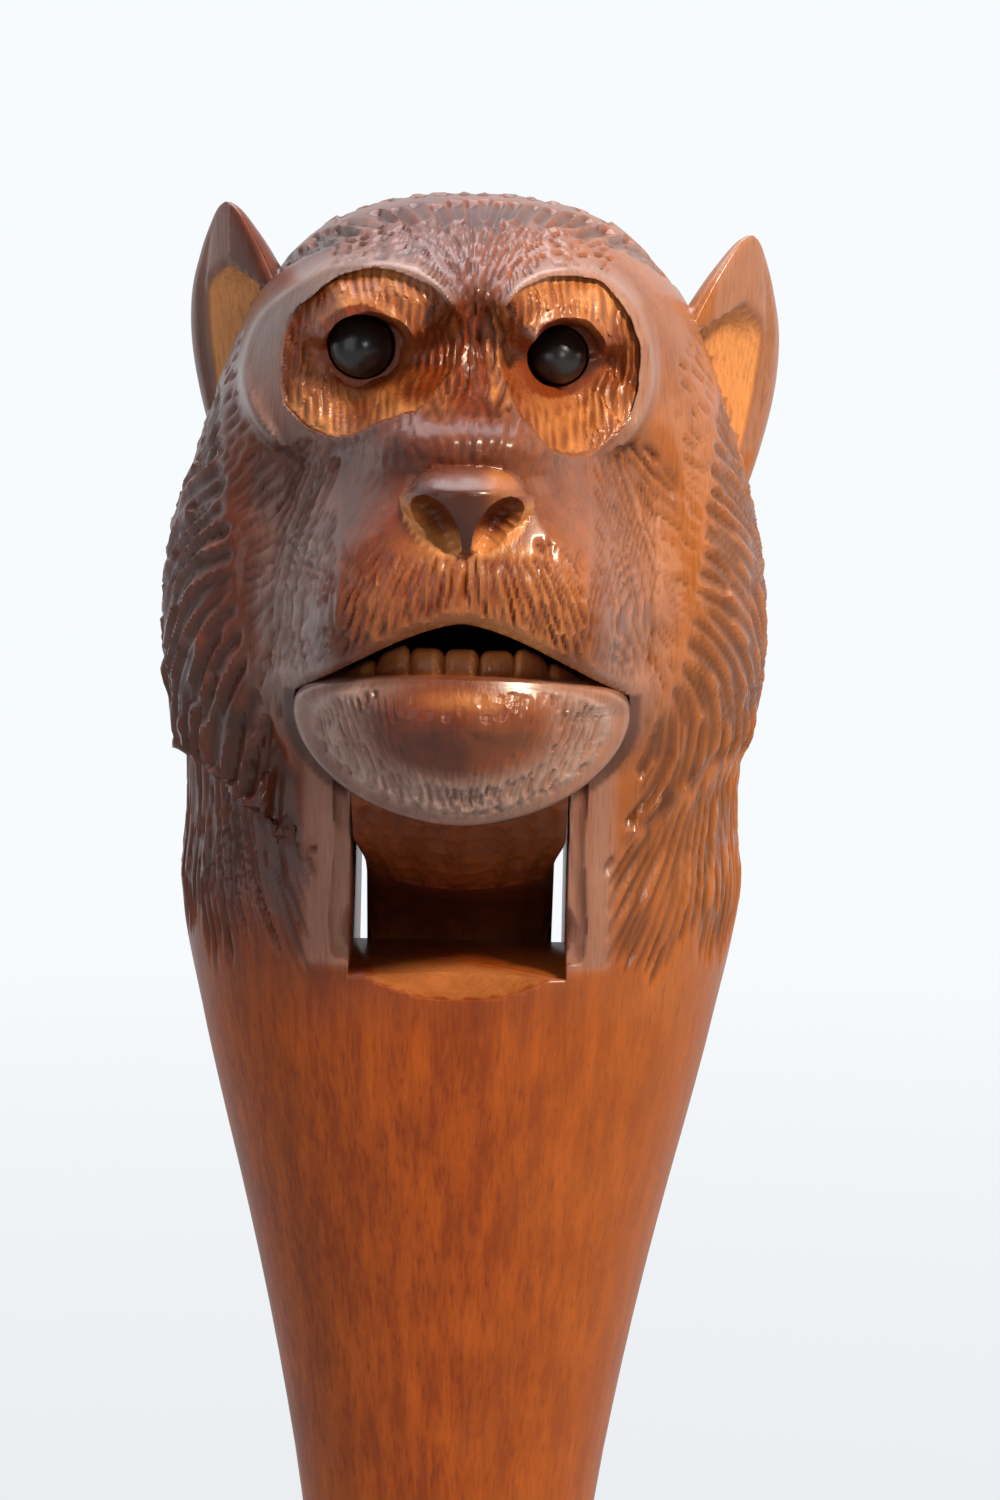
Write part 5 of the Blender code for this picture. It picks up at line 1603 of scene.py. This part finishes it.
def wood_finish(name, colors):
    """Stained, varnished hardwood: mottled stain, fine upright grain, dark gouge marks, painted light and
    shade.
    """
    finish = Finish(bpy.data.materials.new(name), "Principled BSDF")
    plain = finish.place()
    mottle = finish.noise(plain, 0.15, 4.0, 0.6)
    streak = finish.noise(finish.place((1, 1, 0.03)), 0.7, 4.0, 0.62)
    fine = finish.noise(finish.place((1, 1, 0.07)), 3.2, 2.0, 0.5)
    pore = finish.noise(finish.place((4.2, 4.2, 0.3)), 1.0, 1.0, 0.4)
    names = ("mark", "hollow", "bright", "painted_shade", "plain", "painted_sheen")
    mark, hollow, bright, painted_shade, bare, painted_sheen = (finish.point_value(key) for key in names)
    carved_part = (finish.axis(plain, 2) + 9 * mottle).ramp(126, 139) * (1 - bare)

    # The handles' stain and the carved head's, both lighter to the right: partly stain, partly painted
    # light.
    toward_right = (finish.axis(plain, 0) + 14 * mottle - 7).ramp(0, 20)
    figure = (2.5 * streak + 0.9 * mottle + 1.9 * fine - 2.25).clamped()
    handle = finish.blend(figure, colors.stain_deep, colors.stain_light)
    handle = finish.blend(0.5 * toward_right, handle, colors.stain_toward_right)
    cloud = (2.1 * mottle + 0.9 * streak - 1.05).clamped()
    carved = finish.blend(cloud, colors.stain_dark, colors.stain_red)
    carved = finish.blend(0.8 * toward_right, carved, colors.stain_toward_right)
    color = finish.blend(carved_part, handle, carved)

    # Painted sheen, golden hollows with painted light, then what the stain left dark, and painted shade.
    sheened = (painted_sheen * (0.6 * mottle + 1.6 * streak - 0.1)).clamped()
    color = finish.blend(sheened, color, colors.sheen_grey)
    # Painted light: the hollows turn from red to gold where the bright value is high, with mottling.
    lit_gold = (1.1 * bright + 0.9 * mottle + 0.5 * fine - 0.7).clamped()
    color = finish.blend(hollow, color, finish.blend(lit_gold, colors.hollow_red, colors.hollow_gold_lit))
    # Stain gathered in gouge marks, with painted shade where the mark value carries it.
    groove_and_shade = (mark.ramp(0.25, 1.0) * (0.45 + 0.5 * mottle)).clamped()
    grain = (fine - 0.5).ramp(0.0, 0.3) * 0.35
    pores = (pore - 0.6).ramp(0.0, 0.1) * 0.15
    for dark in (groove_and_shade, grain, pores, 0.6 * painted_shade):
        color = finish.blend(dark, color, colors.groove_and_shade)

    chatter = finish.noise(finish.place((1, 1, 0.5)), 1.7, 3.0)
    nicks = finish.noise(finish.place((1, 1, 0.35)), 1.1, 4.0, 0.65)
    relief = 0.35 * fine + 0.6 * finish.noise(plain, 0.8, 3.0)
    relief = relief + 2.6 * hollow * chatter + 1.3 * carved_part * nicks
    finish.apply(
        base_color=color,
        roughness=0.34 + 0.14 * mottle + 0.1 * mark + 0.2 * painted_shade - 0.08 * hollow,
        coat_weight=(0.1 + 0.55 * carved_part) * (1 - 0.8 * painted_shade) * (1 - 0.5 * hollow),
        normal=finish.bump(relief, 0.0001, 0.6),
        coat_roughness=0.22,
        coat_ior=1.45,
        specular_ior_level=0.22,
    )
    return finish.owner


def glass_finish(name, settings):
    """Black glass with a faint milky bloom and fine dust."""
    finish = Finish(bpy.data.materials.new(name), "Principled BSDF")
    bloom = finish.noise(finish.place(), 0.25, 2.0)
    dust = (finish.noise(finish.place(), 9.0, 2.0) - 0.6).ramp(0.0, 0.12) * 0.3
    finish.apply(
        base_color=finish.blend(dust, settings.glass_color, settings.dust_color),
        roughness=0.22 + 0.14 * bloom,
        coat_weight=0.35 * bloom,
        coat_roughness=0.25,
    )
    return finish.owner


def steel_finish(name, settings):
    """Drawn steel, a little tarnished in patches, with fine turning lines."""
    finish = Finish(bpy.data.materials.new(name), "Principled BSDF")
    tarnish = finish.noise(finish.place(), 0.9, 4.0)
    lines = finish.noise(finish.place((0.4, 6, 6)), 1.0, 2.0)
    patches = (2 * tarnish - 0.7).clamped()
    finish.apply(
        base_color=finish.blend(patches, settings.steel_color, settings.tarnish_color),
        metallic=1.0,
        roughness=0.28 + 0.3 * tarnish,
        normal=finish.bump(lines, 0.00002, 0.5),
    )
    return finish.owner


def wear(obj, material):
    obj.data.materials.clear()
    obj.data.materials.append(material)


# Settings


def color_setting(name, description, default):
    look = {"min": 0, "max": 1, "size": 3, "subtype": "COLOR"}
    return FloatVectorProperty(name=name, description=description, default=default, **look)


def depth_setting(name, description, default):
    return FloatProperty(name=name, description=description, default=default, unit="LENGTH")


class NUTCRACKER_PG_carving(bpy.types.PropertyGroup):
    lock_depth: depth_setting("Lock depth", "How deep the big hair locks are cut", 0.00085)
    neck_depth: depth_setting("Neck mark depth", "How deep the long marks of the neck are cut", 0.0004)
    crown_depth: depth_setting("Crown mark depth", "How deep the marks of the crown are cut", 0.0004)
    fine_depth: depth_setting("Fine mark depth", "How deep the fine hair of the face is cut", 0.00018)
    seed: IntProperty(name="Seed", description="Which arrangement of gouge marks is laid", default=11)


class NUTCRACKER_PG_finish(bpy.types.PropertyGroup):
    stain_light: color_setting("Light stain", "The handles where the stain is light", (0.41, 0.08, 0.005))
    stain_deep: color_setting("Deep stain", "The handles where the stain is thick", (0.22, 0.036, 0.003))
    # Orange-brown towards the right: partly the stain, partly painted light.
    stain_toward_right: color_setting("Thin stain", "Orange-brown of the thinnest stain", (0.43, 0.135, 0.028))
    stain_red: color_setting("Red stain", "The carved head's lighter red-brown", (0.2, 0.036, 0.008))
    stain_dark: color_setting("Dark stain", "The carved head's darker brown", (0.07, 0.014, 0.005))
    # The greyer brown is a painted sheen, standing for the pale sky's reflection.
    sheen_grey: color_setting("Veiled stain", "The greyer brown of rubbed places", (0.37, 0.235, 0.19))
    # This dark is the stain in gouge marks and pores, and also painted shade.
    groove_and_shade: color_setting("Groove", "Stain gathered in gouge marks and pores", (0.03, 0.007, 0.003))
    # The golden hollow is the lit copy of the red hollow: painted light in the hollows.
    hollow_gold_lit: color_setting("Golden hollow", "Thin stain in the sockets and ears", (0.72, 0.29, 0.09))
    hollow_red: color_setting("Red hollow", "Thicker stain in the sockets and ears", (0.2, 0.036, 0.007))
    glass_color: color_setting("Glass", "The black of the beads", (0.008, 0.008, 0.009))
    dust_color: color_setting("Dust", "The grey specks on the beads", (0.05, 0.05, 0.055))
    steel_color: color_setting("Steel", "The bright steel of pin and wires", (0.5, 0.48, 0.45))
    tarnish_color: color_setting("Tarnish", "The brown patches on the steel", (0.16, 0.11, 0.08))


class NUTCRACKER_PG_studio(bpy.types.PropertyGroup):
    surround: color_setting("Surround", "The pale floor and sky", (0.93, 0.965, 0.99))
    key_power: FloatProperty(
        name="Key power", description="Power of the warm key light", default=12.5, unit="POWER"
    )
    overhead_power: FloatProperty(
        name="Overhead power", description="Power of the soft light overhead", default=14.0, unit="POWER"
    )
    sky_strength: FloatProperty(name="Sky strength", description="Brightness of the soft sky", default=0.75)
    lens: FloatProperty(name="Lens", description="Focal length of the camera", default=122.0, unit="CAMERA")


# Operators, one for each group of pieces and one for the studio


class NUTCRACKER_OT_head(bpy.types.Operator):
    """Carve the ape's head and the front handle"""

    bl_idname = "nutcracker.head"
    bl_label = "Head and front handle"

    def execute(self, context):
        head = build_head(context.scene.nutcracker_carving)
        wear(head, wood_finish("stained_head_wood", context.scene.nutcracker_finish))
        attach(head, "body")
        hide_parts("head_and_handle")
        return {"FINISHED"}


class NUTCRACKER_OT_lever(bpy.types.Operator):
    """Carve the lower jaw with its teeth, the arm and the rear handle"""

    bl_idname = "nutcracker.lever"
    bl_label = "Jaw and rear handle"

    def execute(self, context):
        lever = build_lever(context.scene.nutcracker_carving)
        wear(lever, wood_finish("stained_lever_wood", context.scene.nutcracker_finish))
        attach(lever, "jaw")
        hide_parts("jaw_lever")
        return {"FINISHED"}


class NUTCRACKER_OT_eyes(bpy.types.Operator):
    """Make the glass beads and finish their wires"""

    bl_idname = "nutcracker.eyes"
    bl_label = "Eyes"

    def execute(self, context):
        settings = context.scene.nutcracker_finish
        glass = glass_finish("black_glass", settings)
        steel = steel_finish("wire_steel", settings)
        for side in SIDES:
            place = np.array(EYE_PLACE[side])
            radius = EYE_RADIUS[side] * 0.96
            bead = ball(f"glass_bead_{side}", place, (radius,) * 3, 48, 80, flat_backed)
            bore_end = place + (0, EYE_RADIUS[side] - WIRE_DEPTH_IN_BEAD, 0)
            bore = rod(f"bore_{side}", bore_end, place + (0, 9, 0), WIRE_BORE_RADIUS, 24)
            carve(bead, "DIFFERENCE", [bore])
            wear(bead, glass)
            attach(bead, "body")
            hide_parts(f"eye_bead_{side}")
            wear(frame["nodes"][f"eye_wire_{side}"], steel)
        return {"FINISHED"}


# Places along the pin and the share of its radius there: a chamfer and a slightly domed end.
PIN_END = [(0.0, 0.5), (0.001, 0.72), (0.004, 0.86), (0.009, 0.96), (0.014, 1.0)]


class NUTCRACKER_OT_pin(bpy.types.Operator):
    """Make the hinge pin with its chamfered, slightly domed ends"""

    bl_idname = "nutcracker.pin"
    bl_label = "Hinge pin"

    def execute(self, context):
        low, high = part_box("hinge_pin")
        half = (high.x - low.x) / 2 / MM
        profile = PIN_END + [(1 - share, scale) for share, scale in PIN_END[::-1]]
        ends = [(x, PIVOT_BACK, PIVOT_HEIGHT) for x in (-half, half)]
        pin = rod("steel_pin", *ends, PIN_RADIUS, 72, profile)
        wear(pin, steel_finish("pin_steel_drawn", context.scene.nutcracker_finish))
        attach(pin, "body")
        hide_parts("hinge_pin")
        return {"FINISHED"}


AIM = (0, 0, 0.155)
# Place, size, power as a share of its setting, and colour of each area light.
LIGHTS = {
    "key": ((0.45, -0.55, 0.78), (0.16, 0.16), 1.0, (1.0, 0.86, 0.68)),
    "side": ((0.9, 0.05, 0.4), (0.5, 0.5), 0.1, (1.0, 0.88, 0.72)),
    "fill": ((-0.7, -0.75, 0.35), (0.8, 0.8), 0.19, (0.92, 0.95, 1.0)),
    "catch": ((0.3, -1.0, 0.34), (0.14, 0.14), 0.085, (1.0, 0.96, 0.9)),
    "overhead": ((-0.15, 0.35, 1.2), (1.2, 0.9), 1.0, (0.88, 0.93, 1.0)),
}


def area_light(name, place, size, power, color):
    light = bpy.data.lights.new(name, "AREA")
    light.shape = "RECTANGLE"
    light.size, light.size_y = size
    light.energy = power
    light.color = color
    obj = bpy.data.objects.new(name, light)
    obj.location = place
    obj.rotation_euler = (Vector(AIM) - Vector(place)).to_track_quat("-Z", "Y").to_euler()
    bpy.context.scene.collection.objects.link(obj)


def soft_sky(studio):
    """A sky that is bright above, behind and to the left, dim behind the camera, and even when seen."""
    sky = Finish(bpy.data.worlds.new("soft_sky"), "Background")
    direction = sky.node("ShaderNodeTexCoord", output="Generated")
    settings = {"operation": "DOT_PRODUCT"}
    facing = sky.node("ShaderNodeVectorMath", settings, {0: direction, 1: (-0.05, 0.75, 0.6)}, output=1)
    lit = 0.07 + (studio.sky_strength - 0.07) * facing.ramp(-0.2, 0.6)
    seen = sky.ray("Camera") + sky.ray("Transmission")
    sky.apply(strength=lit * (1 - seen) + seen, color=opaque(studio.surround))
    return sky.owner


def surround_finish(name, color):
    """Pale matt paper that shows its own colour to the camera and keeps shadows."""
    finish = Finish(bpy.data.materials.new(name), "Principled BSDF")
    grain = finish.noise(finish.place((0.02, 0.02, 0.02)), 1.0, 3.0)
    dim = tuple(0.28 * value for value in color)
    finish.apply(base_color=opaque(dim), roughness=0.85 + 0.1 * grain)
    place = finish.node("ShaderNodeTexCoord", output="Object")
    away = finish.node("ShaderNodeVectorMath", {"operation": "LENGTH"}, {0: place}, output=1)
    behind = finish.axis(place, 1).ramp(0.0, 1.0)
    seen = finish.ray("Camera") + finish.ray("Transmission") + finish.ray("Glossy") * behind
    glow = finish.node("ShaderNodeEmission", None, {"Color": opaque(color), "Strength": 1.0})
    paper = Signal(finish, finish.shader.outputs[0])
    sockets = {0: seen * (0.7 + 0.3 * away.ramp(0.15, 0.7)), 1: paper, 2: glow}
    mixed = finish.node("ShaderNodeMixShader", None, sockets)
    finish.link(finish.tree.nodes["Material Output"].inputs["Surface"], mixed)
    return finish.owner


class NUTCRACKER_OT_studio(bpy.types.Operator):
    """Set out the floor, the sky, the lights and the camera"""

    bl_idname = "nutcracker.studio"
    bl_label = "Studio"

    def execute(self, context):
        studio = context.scene.nutcracker_studio
        floor = round_floor()
        wear(floor, surround_finish("pale_paper", studio.surround))
        context.scene.world = soft_sky(studio)
        for name, (place, size, share, color) in LIGHTS.items():
            power = studio.overhead_power if name == "overhead" else studio.key_power
            area_light(name, place, size, share * power, color)
        place_camera(context, studio)
        context.scene.view_settings.view_transform = "Standard"
        return {"FINISHED"}


FLOOR_SIDES = 96
# Radius and height of each ring of the floor, in metres.
FLOOR_RINGS = [(0.2, 0.0), (1.0, 0.0), (6.0, 0.0), (6.0, -0.02)]


def round_floor():
    angles = angles_round(FLOOR_SIDES)
    points = [(radius * math.cos(a), radius * math.sin(a), z) for radius, z in FLOOR_RINGS for a in angles]
    points.append((0, 0, 0))
    here = np.arange(FLOOR_SIDES)
    following = (here + 1) % FLOOR_SIDES
    faces = [[len(points) - 1, int(a), int(b)] for a, b in zip(here, following)]
    for row in range(len(FLOOR_RINGS) - 1):
        low, high = row * FLOOR_SIDES, (row + 1) * FLOOR_SIDES
        faces += np.stack([low + here, high + here, high + following, low + following], axis=1).tolist()
    mesh = bpy.data.meshes.new("studio_floor")
    mesh.from_pydata(points, [], faces)
    floor = bpy.data.objects.new("studio_floor", mesh)
    bpy.context.scene.collection.objects.link(floor)
    return floor


def place_camera(context, studio):
    """The photograph's view: eight degrees above level, nearly straight on, slightly rolled."""
    camera = bpy.data.cameras.new("camera")
    camera.lens = studio.lens
    camera.sensor_fit = "VERTICAL"
    camera.sensor_height = 36.0
    camera.clip_start = 0.01
    obj = bpy.data.objects.new("camera", camera)
    rise, roll, distance = math.radians(8), math.radians(1.2), 0.45
    target = Vector((0.0033, -0.0035 + AXIS_BACK * MM, 0.145))
    obj.location = target + distance * Vector((0, -math.cos(rise), math.sin(rise)))
    look = (target - obj.location).to_track_quat("-Z", "Y").to_matrix()
    obj.rotation_euler = (look @ Matrix.Rotation(roll, 3, "Z")).to_euler()
    context.scene.collection.objects.link(obj)
    context.scene.camera = obj


class NUTCRACKER_PT_panel(bpy.types.Panel):
    """The nutcracker's pieces and settings"""

    bl_idname = "NUTCRACKER_PT_panel"
    bl_label = "Nutcracker"
    bl_space_type = "VIEW_3D"
    bl_region_type = "UI"
    bl_category = "Nutcracker"

    def draw(self, context):
        for operator in OPERATORS:
            self.layout.operator(operator.bl_idname)
        for group in GROUPS:
            settings = getattr(context.scene, group)
            for name in settings.__annotations__:
                self.layout.prop(settings, name)


OPERATORS = (
    NUTCRACKER_OT_head,
    NUTCRACKER_OT_lever,
    NUTCRACKER_OT_eyes,
    NUTCRACKER_OT_pin,
    NUTCRACKER_OT_studio,
)
GROUPS = {
    "nutcracker_carving": NUTCRACKER_PG_carving,
    "nutcracker_finish": NUTCRACKER_PG_finish,
    "nutcracker_studio": NUTCRACKER_PG_studio,
}


def register():
    for cls in (*GROUPS.values(), *OPERATORS, NUTCRACKER_PT_panel):
        bpy.utils.register_class(cls)
    for name, group in GROUPS.items():
        setattr(bpy.types.Scene, name, PointerProperty(type=group))


def unregister():
    for name in GROUPS:
        delattr(bpy.types.Scene, name)
    for cls in (*GROUPS.values(), *OPERATORS, NUTCRACKER_PT_panel):
        bpy.utils.unregister_class(cls)


def main():
    register()
    bpy.ops.nutcracker.head()
    bpy.ops.nutcracker.lever()
    bpy.ops.nutcracker.eyes()
    bpy.ops.nutcracker.pin()
    bpy.ops.nutcracker.studio()


if __name__ == "__main__":
    main()
